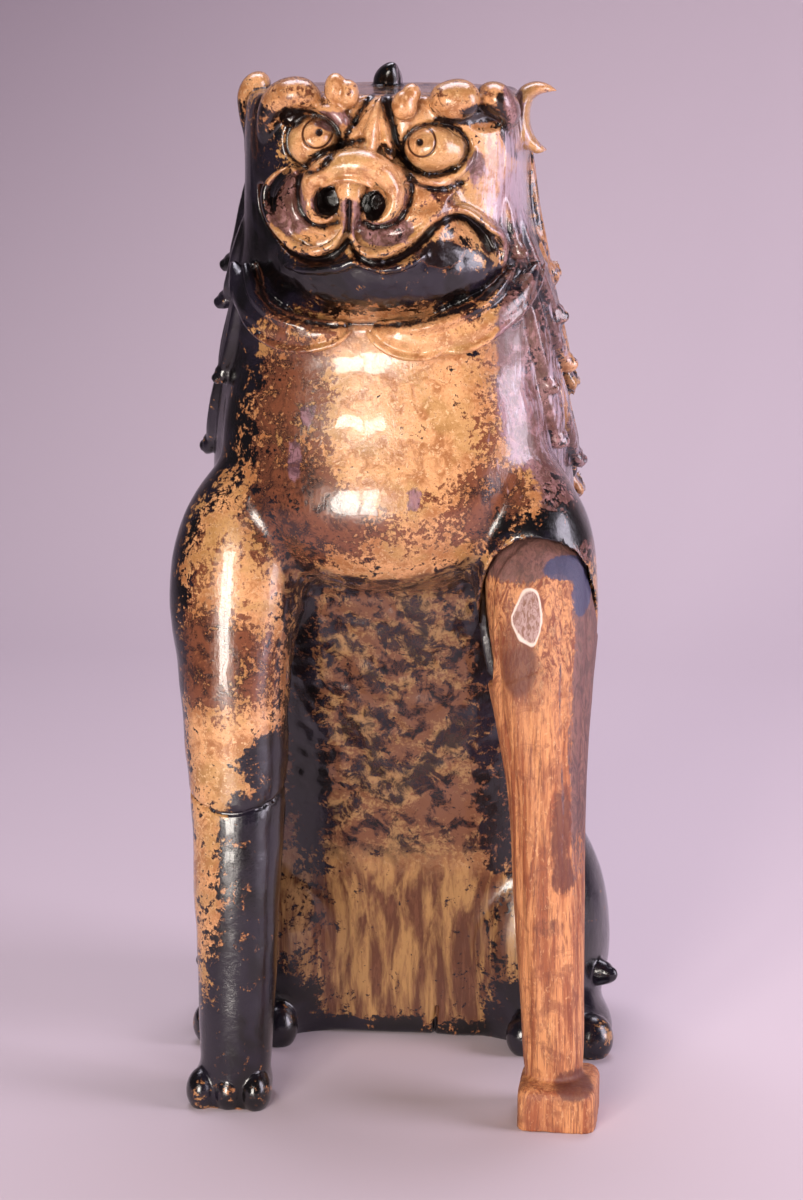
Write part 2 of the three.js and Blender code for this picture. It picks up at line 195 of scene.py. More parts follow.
def upright_body(form, sides=96, rows=60):
    """A plain column of rings drawn up from a circle, then pressed to the body's sections."""
    made = bmesh.ops.create_circle(form, cap_ends=True, radius=1, segments=sides)
    verts = list(made["verts"])
    top = list({face for vert in verts for face in vert.link_faces})
    for _ in range(rows):
        grown = bmesh.ops.extrude_face_region(form, geom=top)["geom"]
        fresh = [part for part in grown if isinstance(part, bmesh.types.BMVert)]
        bmesh.ops.translate(form, vec=(0, 0, CROWN_HEIGHT / rows), verts=fresh)
        top = [part for part in grown if isinstance(part, bmesh.types.BMFace)]
        verts += fresh
    bmesh.ops.holes_fill(form, edges=[edge for edge in form.edges if edge.is_boundary])
    for vert in verts:
        x, y, half_width, half_depth, square = body_section(vert.co.z)
        dx = math.copysign(abs(vert.co.x) ** (2 / square), vert.co.x)
        dy = math.copysign(abs(vert.co.y) ** (2 / square), vert.co.y)
        vert.co = (x + half_width * dx, y + half_depth * dy, vert.co.z)


def foreleg(form, stops, inset=0.0, recess=0.0):
    """A straight foreleg, drawn in by an inset on all sides and set back by a recess."""
    drawn_in = [(x, y - inset + recess, z, half_width - inset, half_depth - inset)
                for x, y, z, half_width, half_depth in stops]
    roll(form, drawn_in, sides=40, rows=56, blunt=14)


# %% [markdown]
# ## From a pile of clay to one skin
# `skinned` turns a bmesh full of overlapping closed shapes into one object with one outer skin.
# The Remesh modifier in voxel mode measures the pile on a grid of cubes and wraps it.
# A Smooth modifier after it rounds the joins, and both are applied before the next step.

# %% Making and applying
def as_object(name, form):
    mesh = bpy.data.meshes.new(name)
    form.to_mesh(mesh)
    form.free()
    made = bpy.data.objects.new(name, mesh)
    bpy.context.scene.collection.objects.link(made)
    return made


def applied(thing):
    """Bakes the live modifiers of an object into its mesh."""
    depsgraph = bpy.context.evaluated_depsgraph_get()
    fresh = bpy.data.meshes.new_from_object(thing.evaluated_get(depsgraph))
    thing.modifiers.clear()
    spent = thing.data
    thing.data = fresh
    bpy.data.meshes.remove(spent)
    return thing


def modify(thing, kind, **settings):
    modifier = thing.modifiers.new(kind.lower(), kind)
    for key, value in settings.items():
        setattr(modifier, key, value)
    return modifier


def skinned(thing, voxel, rounds):
    modify(thing, "REMESH", mode="VOXEL", voxel_size=voxel, adaptivity=0)
    applied(thing)
    if rounds:
        modify(thing, "SMOOTH", factor=0.5, iterations=rounds)
        applied(thing)
    print(thing.name, "skin of", len(thing.data.polygons), "faces")
    return thing


def places_of(thing):
    flat = np.empty(len(thing.data.vertices) * 3, np.float32)
    thing.data.vertices.foreach_get("co", flat)
    return flat.reshape(-1, 3).astype(float)


def normals_of(thing):
    flat = np.empty(len(thing.data.vertices) * 3, np.float32)
    thing.data.vertex_normals.foreach_get("vector", flat)
    return flat.reshape(-1, 3).astype(float)


def set_places(thing, places):
    thing.data.vertices.foreach_set("co", places.astype(np.float32).ravel())
    thing.data.update()


# %% [markdown]
# ## The big masses
# Body, chest, jaw, muzzle, haunches and legs are the clay that the potter put up first.
# They are joined at a coarse 2.4 mm and smoothed well, so that the chest rolls into the
# shoulders with no seam, as the photo shows.

# %% Body, chest, haunches and right foreleg
PAWS = {
    "right_forepaw": dict(x=-75, front=-110, half_width=20.5, length=44, height=25, toes=3),
    "right_hind_paw": dict(x=-82, front=-16, half_width=27, length=70, height=28, toes=3),
    "left_hind_paw": dict(x=83.5, front=-16, half_width=27, length=70, height=28, toes=3),
}


def paw_mass(form, x, front, half_width, length, height, toes):
    back = front + length
    roll(form, [
        (x, back, height * 0.3, half_width * 0.8, height * 0.6),
        (x, (front + back) / 2, height * 0.35, half_width, height * 0.65),
        (x, front + 3, height * 0.3, half_width * 0.96, height * 0.52),
    ], UPWARD, blunt=4)


def toes_of(form, x, front, half_width, length, height, toes):
    pitch = 2 * half_width / toes
    for i in range(toes):
        middle = x - half_width + pitch * (i + 0.5)
        ball(form, (middle, front + 10.5, height * 0.34), (pitch * 0.55, 10.8, height * 0.44))


def big_masses():
    form = bmesh.new()
    upright_body(form)
    roll(form, CHEST, sides=56, rows=40)
    ball(form, (-63, 50, 48), (41, 54, 72))
    ball(form, (64, 50, 50), (42.5, 54, 74))
    foreleg(form, RIGHT_FORELEG)
    foreleg(form, LEFT_FORELEG[:4])
    for paw in PAWS.values():
        paw_mass(form, **paw)
    ball(form, (-11.5, -84, 452), (30, 18, 20))
    ball(form, (-32, -89, 447), (20, 17, 19))
    ball(form, (11, -89, 447), (26, 17, 19))
    ball(form, (0, -66, 421), (57.5, 42, 27.5))
    return form


figure = skinned(as_object("komainu_figure", big_masses()), ROUGH_VOXEL, 14)

# %% [markdown]
# ## The broken shoulder
# The shoulder ends in a jagged arch, and the wooden leg's tongue goes up inside it.
# The broken shell of the upper arm is cut off along a slanting plane before it joins the body.
# The socket is a boolean, because a break is the one place where a real edge stays sharp.

# %% Shoulder shell, socket and arch
BREAK_LOW = Vector((52, 0, 214))
BREAK_HIGH = Vector((104, 0, 238))
TONGUE_INSET = 5.0
TONGUE_RECESS = 3.0
SOCKET_PLAY = 0.5
ARCH_OUTLINE = [
    (46.5, 200), (46.5, 218), (45.5, 232), (46, 243), (46.5, 254), (48, 264), (50.5, 272),
    (54, 279), (58.5, 283.5), (65.5, 288), (72.5, 289.6), (80, 288.6), (87, 286), (94, 281),
    (99, 273), (102, 261), (105, 248), (108, 236), (108, 200),
]


def cut_by(thing, form, operation="DIFFERENCE"):
    """Takes the forms of a bmesh away from an object, or keeps only what they share."""
    bmesh.ops.recalc_face_normals(form, faces=form.faces)
    cutter = as_object("cutter", form)
    modify(thing, "BOOLEAN", operation=operation, object=cutter, solver="EXACT")
    applied(thing)
    bpy.data.objects.remove(cutter)


def add_to(thing, form):
    """Adds the forms of a bmesh to the mesh of an object."""
    form.from_mesh(thing.data)
    form.to_mesh(thing.data)
    form.free()


def cut_at_break(form, drop, keep_above):
    """Cuts the forms off along the plane of the break and closes the cut."""
    along_break = (BREAK_HIGH - BREAK_LOW).normalized()
    up = Vector((-along_break.z, 0, along_break.x))
    parts = form.verts[:] + form.edges[:] + form.faces[:]
    cut = bmesh.ops.bisect_plane(form, geom=parts, plane_co=BREAK_LOW - up * drop, plane_no=up,
                                 clear_inner=keep_above, clear_outer=not keep_above)
    rim = [part for part in cut["geom_cut"] if isinstance(part, bmesh.types.BMEdge)]
    bmesh.ops.holes_fill(form, edges=rim)


def socket_cutter():
    """The space that the wooden tongue fills; the open arch in front of it is cut by arch_block."""
    form = bmesh.new()
    foreleg(form, LEFT_FORELEG, TONGUE_INSET - SOCKET_PLAY, TONGUE_RECESS - SOCKET_PLAY)
    return form


def arch_block(outline, front=-130.0, back=-64.0):
    """A block with the arch's outline, through the front of the shoulder."""
    form = bmesh.new()
    face = form.faces.new([form.verts.new((x, back, z)) for x, z in outline])
    grown = bmesh.ops.extrude_face_region(form, geom=[face])["geom"]
    fresh = [part for part in grown if isinstance(part, bmesh.types.BMVert)]
    bmesh.ops.translate(form, vec=(0, front - back, 0), verts=fresh)
    return form


def mouth_cutter():
    """The hole at the open end of the mouth."""
    form = bmesh.new()
    roll(form, [(42, -98, 442, 3, 9), (48, -94, 437, 4.5, 11), (52, -90, 430, 4, 11), (54, -88, 425, 2, 9)])
    return form


shoulder = bmesh.new()
foreleg(shoulder, LEFT_FORELEG)
cut_at_break(shoulder, 0.0, keep_above=True)
add_to(figure, shoulder)
skinned(figure, ROUGH_VOXEL, 4)
cut_by(figure, socket_cutter())
cut_by(figure, arch_block(ARCH_OUTLINE))
cut_by(figure, mouth_cutter())
print("shoulder broken open:", len(figure.data.polygons), "faces")

# %% [markdown]
# ## Rolls of clay on the face
# Eyes, lids, brows, nose, lips and ears are each a ball or a roll of clay that the potter pressed on.
# Every roll follows a few stops measured on the object, with its width and thickness.

# %% Eyes and brows
EYES = {
    "right_eye": dict(centre=(-31.6, -90, 478), half_sizes=(12.3, 12.5, 11.8)),
    "left_eye": dict(centre=(25, -90, 475.6), half_sizes=(13.5, 12.5, 10.9)),
    "left_eye_corner": dict(centre=(33.5, -88, 474.6), half_sizes=(8, 10, 7.6)),
}
LIDS = [
    [(15.6, -95, 464.4, 1.3, 2.4), (26, -95, 461.6, 2.0, 3), (36, -91, 463.4, 2.2, 3),
     (42.6, -86, 469.4, 2.0, 3), (44.4, -83, 476, 1.2, 2.4)],
    [(-19.5, -97, 466, 1.0, 2.2), (-27, -97, 463.4, 1.7, 2.8), (-35.6, -94, 462.8, 1.7, 2.8),
     (-42.6, -90, 466.6, 1.3, 2.4)],
]
BROWS = [
    [(-54.5, -70, 466, 2.6, 5), (-55, -74, 478, 5, 7), (-53, -78, 489, 7, 9), (-48, -81, 497, 8.6, 12),
     (-38, -86, 499.8, 9.2, 13), (-27.5, -89, 496.6, 6.4, 9)],
    [(45, -79, 497.5, 8.4, 12), (37.5, -83, 498, 10, 14), (29, -86.5, 497, 8.6, 12), (24, -88, 495.4, 5.5, 8)],
    [(59, -64, 484, 3.4, 6), (59, -69, 491.5, 6, 9), (53.6, -74, 497.6, 8.4, 12), (46, -78, 499, 8, 12)],
]
BROW_BALLS = [
    ((-20.4, -92, 503), (5.4, 8, 7.6)), ((-14.4, -92, 500.6), (5.2, 8, 7)),
    ((12.2, -93, 495.6), (6.2, 8, 7.2)), ((15.4, -91, 501.2), (4.6, 7, 5)),
]
BROW_FOLDS = [[(-29, -90, 494, 2.6, 5), (-20.4, -95, 492, 3.6, 5), (-14.8, -96.5, 485.6, 3.2, 4),
               (-13.6, -97, 480, 1.8, 3)]]
CREST = [
    [(0.6, -86, 499, 1.4, 4.6), (-0.8, -90, 493, 2.6, 6), (-3.4, -96, 482, 4.4, 7.6), (-5, -102, 471, 5.6, 7)],
    [(-1, -87, 496, 1.2, 4), (-5.8, -90.5, 489, 2.4, 5), (-11.6, -94.5, 479, 3, 5.6), (-19, -97, 469.4, 2.6, 5)],
    [(1.6, -87, 496, 1.2, 4), (2.2, -90.5, 489, 2.2, 5), (4.2, -95, 479, 3, 5.6), (7, -99, 471, 3, 5)],
]

# %% [markdown]
# The nose is one thick roll bent into an arch, and its ends curl under the nostrils like a scroll.
# Two thin strips part from it between the nostrils and run on into the beads that edge the lips.

# %% Nose and mouth
NOSE = [
    [(-18.6, -108.6, 447, 1.6, 3.4), (-21.4, -110, 443.8, 2.0, 4.4), (-26.6, -110.4, 443.8, 2.6, 5.6),
     (-30.6, -109.4, 447.4, 3.4, 7), (-31.9, -107.6, 454, 4.1, 8.4), (-29.6, -106.6, 461, 5.2, 9.4),
     (-23, -107.4, 466.6, 6.4, 10), (-14, -108.6, 469, 7.6, 10.6), (-5, -109, 469, 7.6, 10.6),
     (3, -107.8, 465.8, 6.6, 10), (8.4, -106.6, 459.4, 5.2, 9), (9.6, -107.4, 452.4, 4.5, 8),
     (7, -109.4, 446.4, 3.4, 6.4), (2.2, -110.4, 443.2, 2.3, 5), (-2, -110, 443.8, 1.8, 4),
     (-4.6, -108.6, 446.6, 1.4, 3)],
    [(-24.4, -111.6, 458.4, 1.0, 2.2), (-20, -114.6, 461.4, 1.5, 2.8), (-12, -116.2, 463, 1.7, 3),
     (-4, -115.8, 461.6, 1.5, 2.8), (0.2, -113, 458.6, 1.0, 2.2)],
    [(-11.7, -104.6, 465, 9, 8), (-11.7, -105.6, 456, 7.4, 8), (-11.9, -104.6, 447, 5.8, 7.6),
     (-13, -103.6, 437, 4.6, 6)],
]
LIP_BEADS = [
    [(-15.2, -107.6, 440, 2.0, 3), (-16.4, -108.4, 436, 2.2, 3.4), (-19, -108.4, 432.6, 2.4, 3.6),
     (-24, -107.6, 429.6, 2.5, 4), (-31.2, -105.7, 428.4, 2.6, 4.2), (-38.7, -102.7, 430.3, 2.6, 4.4),
     (-46, -98.9, 436.3, 2.6, 4.6), (-51.2, -95.6, 443, 2.6, 4.8), (-53.8, -93.6, 450.8, 2.4, 4.8),
     (-53.2, -93.8, 457, 2.2, 4.4), (-48.8, -96.4, 463, 1.8, 3.8), (-42, -100.2, 467.4, 1.2, 2.8)],
    [(-10.6, -107.6, 440, 2.0, 3), (-11, -108.6, 436, 2.2, 3.4), (-10, -108.8, 432, 2.5, 3.8),
     (-6.5, -108.8, 429, 2.7, 4.2), (-0.5, -108, 427.6, 2.8, 4.4), (6.8, -106.2, 428.9, 2.8, 4.4),
     (15.9, -102.6, 434.3, 2.7, 4.8), (20.7, -100.2, 438.3, 2.6, 4.8), (25.2, -97.6, 444.2, 2.4, 4.8),
     (31.4, -93.3, 451.9, 2.2, 4.6), (37.6, -88.6, 458, 1.2, 3)],
    [(-3, -108.5, 474.2, 1.2, 2.6), (5.5, -105.5, 469.2, 1.9, 4), (16.3, -101, 462.6, 2.5, 5),
     (26.5, -95.6, 459.8, 2.6, 5), (37.6, -88.6, 458, 1.4, 3.4)],
    [(24, -96.4, 440.6, 1.4, 4), (28.4, -93.4, 444.8, 2.2, 5), (33.5, -89.6, 447, 2.5, 6),
     (39.7, -85.2, 446.6, 2.6, 6.4), (45.6, -80.4, 442.8, 2.6, 6.6), (51, -76, 438.2, 2.4, 6.6),
     (56, -70.6, 434, 2.3, 6.4), (58, -68.4, 428.7, 2.2, 6), (57.4, -69, 420.2, 2.0, 5.4),
     (55.4, -70.4, 413.1, 1.4, 4.4)],
    [(-46, -91, 420, 1.5, 3), (-32, -101, 419, 2.2, 3.4), (-18, -106, 421, 2.4, 3.4),
     (-8, -107.4, 423.8, 2.4, 3.4), (3.9, -108, 420.8, 2.4, 3.4), (16, -105.6, 422.8, 2.2, 3.4),
     (26, -99.6, 428.8, 1.5, 3)],
]

# %% [markdown]
# The beard is a collar of flaps under the jaw. Each has a thin raised rim where the potter
# pinched the edge, and the two sides meet in a notch under the chin.

# %% Beard, ears and crown lock
BEARD = [
    [(-75, -58, 417, 4, 7), (-67, -69, 402, 7.5, 8), (-56, -77, 391.6, 8.5, 8), (-42, -82.5, 386.6, 8, 8),
     (-28, -85.5, 387, 7.6, 8), (-16, -87, 391, 4.6, 6.5)],
    [(-4, -87, 391, 4.6, 6.5), (8, -86.5, 386, 7.6, 8), (22, -84.5, 384, 8, 8), (38, -81, 387.6, 8.5, 8),
     (53, -74, 395.6, 8.5, 8), (65, -62, 405, 7, 8), (72, -50, 417, 4, 7)],
    [(-68, -66, 417, 3, 7), (-60, -75, 402, 4.4, 8), (-46, -83, 393.4, 4.4, 8), (-28, -87.6, 390.4, 3.4, 7)],
    [(2, -89, 392, 3, 7), (18, -88, 391, 4, 8), (36, -84, 396, 4.6, 8), (52, -75, 405, 4.4, 8),
     (62, -64, 417, 3, 7)],
]
BEARD_RIMS = [
    [(-77, -56, 418, 1.1, 3), (-72, -67, 401, 1.8, 4.5), (-66.5, -73.4, 390.6, 2, 5),
     (-58.5, -80, 384, 2, 5), (-50, -84.4, 380.2, 2, 5), (-40.5, -87.6, 378.8, 2, 5),
     (-30, -89.4, 380.1, 2, 5), (-20, -90.4, 383.4, 1.9, 4.6), (-13.4, -90.8, 389, 1.5, 3.6)],
    [(-6.6, -90.8, 389.4, 1.5, 3.6), (-2, -90.8, 383.6, 1.8, 4.6), (5.3, -90.4, 378.8, 2, 5),
     (14.4, -90, 376.4, 2, 5), (24, -88.6, 377, 2, 5), (30.5, -87.4, 379.8, 1.9, 4.6)],
    [(28, -87.6, 379.4, 1.6, 4), (38.8, -85.4, 379.6, 2, 5), (48.6, -81.4, 383, 2, 5),
     (57.7, -75.4, 389.5, 2, 5), (67, -65, 397.6, 1.8, 4.6), (73, -53, 407, 1.7, 4),
     (75.5, -46, 418, 1.1, 3)],
]
EARS = [
    [(-60.6, -34, 500.6, 4.0, 8), (-65.4, -36, 502.4, 6.0, 10), (-69, -38, 497, 6.6, 10),
     (-69.4, -40, 488, 5.6, 9), (-68.4, -41, 478, 4.6, 8), (-69.6, -42, 468, 3.0, 6), (-69, -42, 460, 1.4, 4)],
    [(80.4, -36, 499.6, 1.0, 4), (76, -37, 500.8, 2.8, 7), (70.6, -38, 501, 4.2, 8.6),
     (65.4, -38.6, 498.4, 4.9, 9.6), (63.4, -39, 491, 4.5, 10), (63.6, -39, 483.6, 4.4, 10),
     (66, -38.6, 476.8, 4.5, 9.6), (70.8, -38, 472.4, 4.0, 8.6), (75.6, -37, 471.6, 2.2, 6)],
]
CROWN_LOCK = [
    [(-6.3, 2, 495, 8.6, 9), (-6, -3, 501.6, 8.2, 8), (-4.8, -7, 506.4, 6.0, 6.6),
     (-3.3, -9, 510, 3.3, 4.6), (-2.6, -9.6, 511.6, 1.5, 2.4)],
]


def face_rolls(form):
    for eye in EYES.values():
        ball(form, **eye)
    for centre, half_sizes in BROW_BALLS:
        ball(form, centre, half_sizes, 20, 14)
    for group in (LIDS, BROWS, BROW_FOLDS, CREST, NOSE, LIP_BEADS, BEARD, BEARD_RIMS, EARS):
        for stops in group:
            roll(form, stops, rows=12 + 6 * len(stops))
    for stops in CROWN_LOCK:
        roll(form, stops, rows=36, blunt=2.4)


# %% [markdown]
# ## The mane and the tail
# Each lock of the mane is a few strands laid side by side, which meet in a nub turned upwards.
# One function lays a lock anywhere on the body's wall, so the locks seen in the photo and the
# plain tiers on the hidden back are made alike.

# %% Locks laid on the body
def towards(turn):
    a = math.radians(turn)
    return Vector((math.sin(a), -math.cos(a), 0))


def mane_lock(form, start, tip, half_width, nub, strands=3):
    (start_turn, start_z), (tip_turn, tip_z) = start, tip
    outward = towards((start_turn + tip_turn) / 2)
    degrees = math.degrees(half_width / 85)

    def at(t, sideways, lift):
        turn = start_turn + (tip_turn - start_turn) * t + degrees * sideways
        return tuple(on_body(turn, start_z + (tip_z - start_z) * t, lift))

    for i in range(strands):
        side = (i - (strands - 1) / 2) / strands * 1.5
        thick = half_width / strands * 1.15
        roll(form, [
            (*at(-0.1, side * 0.7, -3), thick * 0.6, 2.5),
            (*at(0.3, side, -0.8), thick, 4),
            (*at(0.7, side, 0.8), thick, 4.4),
            (*at(0.95, side * 0.35, nub * 0.35), thick * 0.8, 4),
        ], outward, sides=14, rows=24)
    roll(form, [
        (*at(0.82, 0, -0.5), half_width * 0.5, 4.4),
        (*at(0.95, 0, nub * 0.4), half_width * 0.58, 4.6),
        (*at(0.985, 0, nub * 0.85), half_width * 0.48, 3.4),
        (*at(0.955, 0, nub * 1.15), half_width * 0.26, 1.9),
    ], outward, sides=16, rows=20, blunt=2.4)


FRONT_LOCKS = [
    ((60, 452), (59, 424), 7, 7), ((74, 446), (86, 388), 10, 8), ((63, 418), (67, 355), 9, 7),
    ((80, 408), (90, 363), 9, 8), ((67, 386), (70, 327), 10, 6), ((82, 366), (90, 313), 10, 7),
    ((-84, 458), (-88, 412), 10, 9), ((-72, 440), (-82, 394), 10, 8),
    ((-62, 410), (-66, 358), 9, 6), ((-80, 372), (-90, 317), 10, 7),
]
BACK_TIERS = [
    dict(top=482, tip=404, first=112, count=4, half_width=20),
    dict(top=432, tip=350, first=104, count=5, half_width=20),
    dict(top=384, tip=292, first=114, count=4, half_width=22),
]
TAIL = [
    [(0, 98, 30, 9, 9), (0, 110.5, 85, 21, 14), (0, 100, 150, 18, 12), (0, 86, 222, 3, 7)],
    [(-8, 100, 56, 8, 9), (-29, 97, 100, 12, 11), (-31, 90, 145, 10, 10), (-43, 80, 182, 3, 6)],
    [(8, 100, 56, 8, 9), (29, 97, 100, 12, 11), (31, 90, 145, 10, 10), (43, 80, 182, 3, 6)],
]
HAUNCH_TUFT = [(90, 36, 36, 9, 10), (101, 28, 35, 7, 8), (109, 23, 36, 4, 5), (111.4, 22, 38, 2, 2.6)]


def hair_rolls(form):
    for start, tip, half_width, nub in FRONT_LOCKS:
        mane_lock(form, start, tip, half_width, nub)
    for tier in BACK_TIERS:
        step = (360 - 2 * tier["first"]) / (tier["count"] - 1)
        for i in range(tier["count"]):
            turn = tier["first"] + step * i
            mane_lock(form, (turn, tier["top"]), (turn, tier["tip"]), tier["half_width"], 9, strands=4)
    for stops in TAIL:
        roll(form, stops, -FORWARD, rows=36)
    for hand in (-1, 1):
        roll(form, [(hand * x, *rest) for x, *rest in HAUNCH_TUFT], UPWARD)


fresh = bmesh.new()
face_rolls(fresh)
hair_rolls(fresh)
for paw in PAWS.values():
    toes_of(fresh, **paw)
add_to(figure, fresh)
skinned(figure, FINE_VOXEL, 3)

# %% [markdown]
# ## Lines and hollows cut with a tool
# Fine marks are too narrow for rolls of clay, so they are cut into the skin by moving its vertices.
# A line is drawn on the front as x and z points, and each vertex near it sinks along Y by a
# rounded profile. Around the eyes the skin is subdivided first, because an iris ring is 1 mm wide.

# %% Cutting tools
IRISES = {
    "right": dict(x=-28.3, z=482.8, ring=6.7, pupil_x=-27.4, pupil_z=483.2),
    "left": dict(x=21, z=479.2, ring=6.7, pupil_x=20.2, pupil_z=479),
}
RING_WIDTH = 0.7
RING_DEPTH = 1.0
PUPIL_RADIUS = 1.7


def refine(thing, centre, radius, cuts=1):
    """Subdivides the faces inside a ball, so that finer marks fit there."""
    form = bmesh.new()
    form.from_mesh(thing.data)
    centre = Vector(centre)
    edges = {edge for face in form.faces
             if (face.calc_center_median() - centre).length < radius for edge in face.edges}
    bmesh.ops.subdivide_edges(form, edges=list(edges), cuts=cuts, use_grid_fill=True, smooth=0.0)
    form.to_mesh(thing.data)
    form.free()


def line_reach(places, line):
    """Distance in the front plane from each place to a smooth line of x, z points."""
    drawn = along(np.asarray(line, float), np.linspace(0, 1, 12 * len(line)))
    flat = places[:, [0, 2]]
    reach = np.full(len(flat), 1e9)
    for start, end in zip(drawn[:-1], drawn[1:]):
        step = end - start
        t = np.clip((flat - start) @ step / (step @ step), 0, 1)
        reach = np.minimum(reach, np.linalg.norm(flat - start - t[:, None] * step, axis=1))
    return reach


def carve(places, line, width, depth, front=-40.0):
    """Sinks a rounded groove along a line on the front, or raises a ridge if the depth is negative."""
    points = np.asarray(line, float)
    low, high = points.min(0) - 3 * width, points.max(0) + 3 * width
    near = np.flatnonzero((places[:, 1] < front) & (places[:, 0] > low[0]) & (places[:, 0] < high[0])
                          & (places[:, 2] > low[1]) & (places[:, 2] < high[1]))
    reach = line_reach(places[near], line)
    places[near, 1] += depth * np.exp(-(reach / width) ** 2)


def smooth_step(value):
    value = np.clip(value, 0, 1)
    return value * value * (3 - 2 * value)


def hollow(places, x, z, half_x, half_z, depth, edge=2.0, front=-40.0):
    """Presses an oval hollow into the front."""
    reach = np.hypot((places[:, 0] - x) / half_x, (places[:, 2] - z) / half_z)
    near = (places[:, 1] < front) & (reach < 1)
    places[near, 1] += depth * smooth_step((1 - reach[near]) * edge)


def spot(places, centre, radii, soft=0.5):
    """1 inside an oval, falling softly to 0 outside it."""
    reach = np.linalg.norm((places - np.array(centre)) / np.array(radii), axis=1)
    return smooth_step((1 + soft / 2 - reach) / soft)


def value_noise(places, size, seed=0):
    """Soft random lumps of a given size in millimetres, between -1 and 1, the same on each run."""
    rng = np.random.default_rng(seed)
    table = rng.uniform(-1, 1, 4096)
    grid = places / size + 512
    cell = np.floor(grid).astype(np.int64)
    part = smooth_step(grid - cell)
    total = np.zeros(len(places))
    for corner in np.ndindex(2, 2, 2):
        at = cell + corner
        value = table[(at[:, 0] * 73856093 ^ at[:, 1] * 19349663 ^ at[:, 2] * 83492791) % 4096]
        weight = np.prod(np.where(np.array(corner), part, 1 - part), axis=1)
        total += value * weight
    return total


# %% Lines of the face
def oval(x, z, half_x, half_z, steps=20):
    """A closed line round an eye or a nostril."""
    turns = (2 * math.pi * i / steps for i in range(steps + 1))
    return [(x + half_x * math.cos(a), z + half_z * math.sin(a)) for a in turns]


EYE_LINES = [oval(-31.6, 478, 13.0, 12.4), oval(26.2, 475.2, 15.4, 11.8)]
CREST_GROOVES = [
    [(-3.4, 501), (-8.4, 494), (-12.6, 486), (-17.6, 477), (-23.4, 469.4)],
    [(3.4, 502), (3.6, 497), (5.6, 489), (8.4, 478), (12.6, 469), (20, 459.4), (29.6, 457), (38, 459)],
]
CREST_LINES = [[(-1.8, 497), (-5.4, 488), (-9.6, 477)], [(1.2, 496), (0.8, 487), (1.6, 477)]]
MOUTH_LINE = [
    (-58.5, 455), (-57.6, 446), (-52.6, 436.5), (-44, 428), (-32, 423.6), (-22.5, 425), (-15.8, 429.8),
    (-12.9, 433), (-9.6, 428.2), (-6, 424.8), (0, 422.8), (7.5, 423.9), (17, 429.2), (22.5, 434.2),
    (27.5, 439.6), (33, 443), (39, 442.8), (44, 439), (48.6, 433.6), (52, 427),
]
NOSE_GROOVES = [
    [(-37, 464), (-38, 455), (-36.4, 447), (-31.6, 441.6), (-25, 439.6), (-19, 441.2)],
    [(-34.5, 467.6), (-26, 473.6), (-15, 478), (-6, 480)],
    [(3.4, 477), (11, 470.4), (15.6, 462), (16, 453), (12.6, 445), (6.6, 440.2), (-1, 439.4), (-6, 441)],
]
SEPTUM_LINE = [(-11.6, 452), (-11.9, 446), (-12.8, 437)]
DISHES = [(-39, 450, 13, 14, 3.6), (21, 452.4, 12, 8, 3.2), (7, 438.5, 10, 5, 1.6)]
NOSTRILS = [(-22.4, 451.6, 5.6, 6.8), (-1, 450, 5.5, 6.5)]
JAW_CREASE = [
    (-62, 417), (-58, 404), (-47, 396), (-31, 392), (-11, 390.6), (14, 393), (34, 398), (49, 405), (59, 417),
]
BROW_HOLLOW = [(-41.5, 489.6, 7.5, 5.5, 3.4), (50, 487, 9, 5, 3.0)]

for iris in IRISES.values():
    refine(figure, (iris["x"], -101, iris["z"]), 11)
refine(figure, (-12, -100, 455), 50)

skin = places_of(figure)
for line in CREST_GROOVES:
    carve(skin, line, 1.9, 3.0)
for line in CREST_LINES:
    carve(skin, line, 0.8, 1.0)
for line in NOSE_GROOVES:
    carve(skin, line, 1.7, 3.4)
for line in EYE_LINES:
    carve(skin, line, 1.3, 2.6, front=-70)
carve(skin, SEPTUM_LINE, 1.3, 3.6)
for x, z, half_x, half_z, depth in DISHES + BROW_HOLLOW:
    hollow(skin, x, z, half_x, half_z, depth)
carve(skin, MOUTH_LINE, 1.6, 5.5)
carve(skin, JAW_CREASE, 1.8, 3.0)
for x, z, half_x, half_z in NOSTRILS:
    hollow(skin, x, z, half_x, half_z, 14, edge=2.4)
for iris in IRISES.values():
    reach = np.hypot(skin[:, 0] - iris["x"], skin[:, 2] - iris["z"])
    near = (skin[:, 1] < -90) & (reach < 12)
    skin[near, 1] += RING_DEPTH * np.exp(-((reach[near] - iris["ring"]) / RING_WIDTH) ** 2)
    hollow(skin, iris["pupil_x"], iris["pupil_z"], PUPIL_RADIUS * 1.3, PUPIL_RADIUS * 1.3, 2.2, 2.5, -90)

# %% [markdown]
# The rest of the skin gets the marks of its making and its age: the mended break that runs
# round the right foreleg, the lumpy belly, a split at the base and the slow waves of a hand-built wall.

# %% Break, belly and base
CRACK = dict(x=-71.8, y=-74, height=160, sag=9, depth=1.7, width=0.9)
outward = normals_of(figure)

around_leg = np.hypot(skin[:, 0] - CRACK["x"], skin[:, 1] - CRACK["y"])
crack_height = (CRACK["height"] + CRACK["sag"] * (skin[:, 1] - CRACK["y"]) / 26
                + 0.9 * value_noise(skin, 7, 3) + 0.5 * value_noise(skin, 3, 4))
below_crack = skin[:, 2] - crack_height
on_leg = around_leg < 32
skin -= outward * (on_leg * CRACK["depth"] * np.exp(-(below_crack / CRACK["width"]) ** 2))[:, None]
skin -= outward * (on_leg * 0.5 * (below_crack < 0) * np.exp(below_crack.clip(-60, 0) / 9))[:, None]

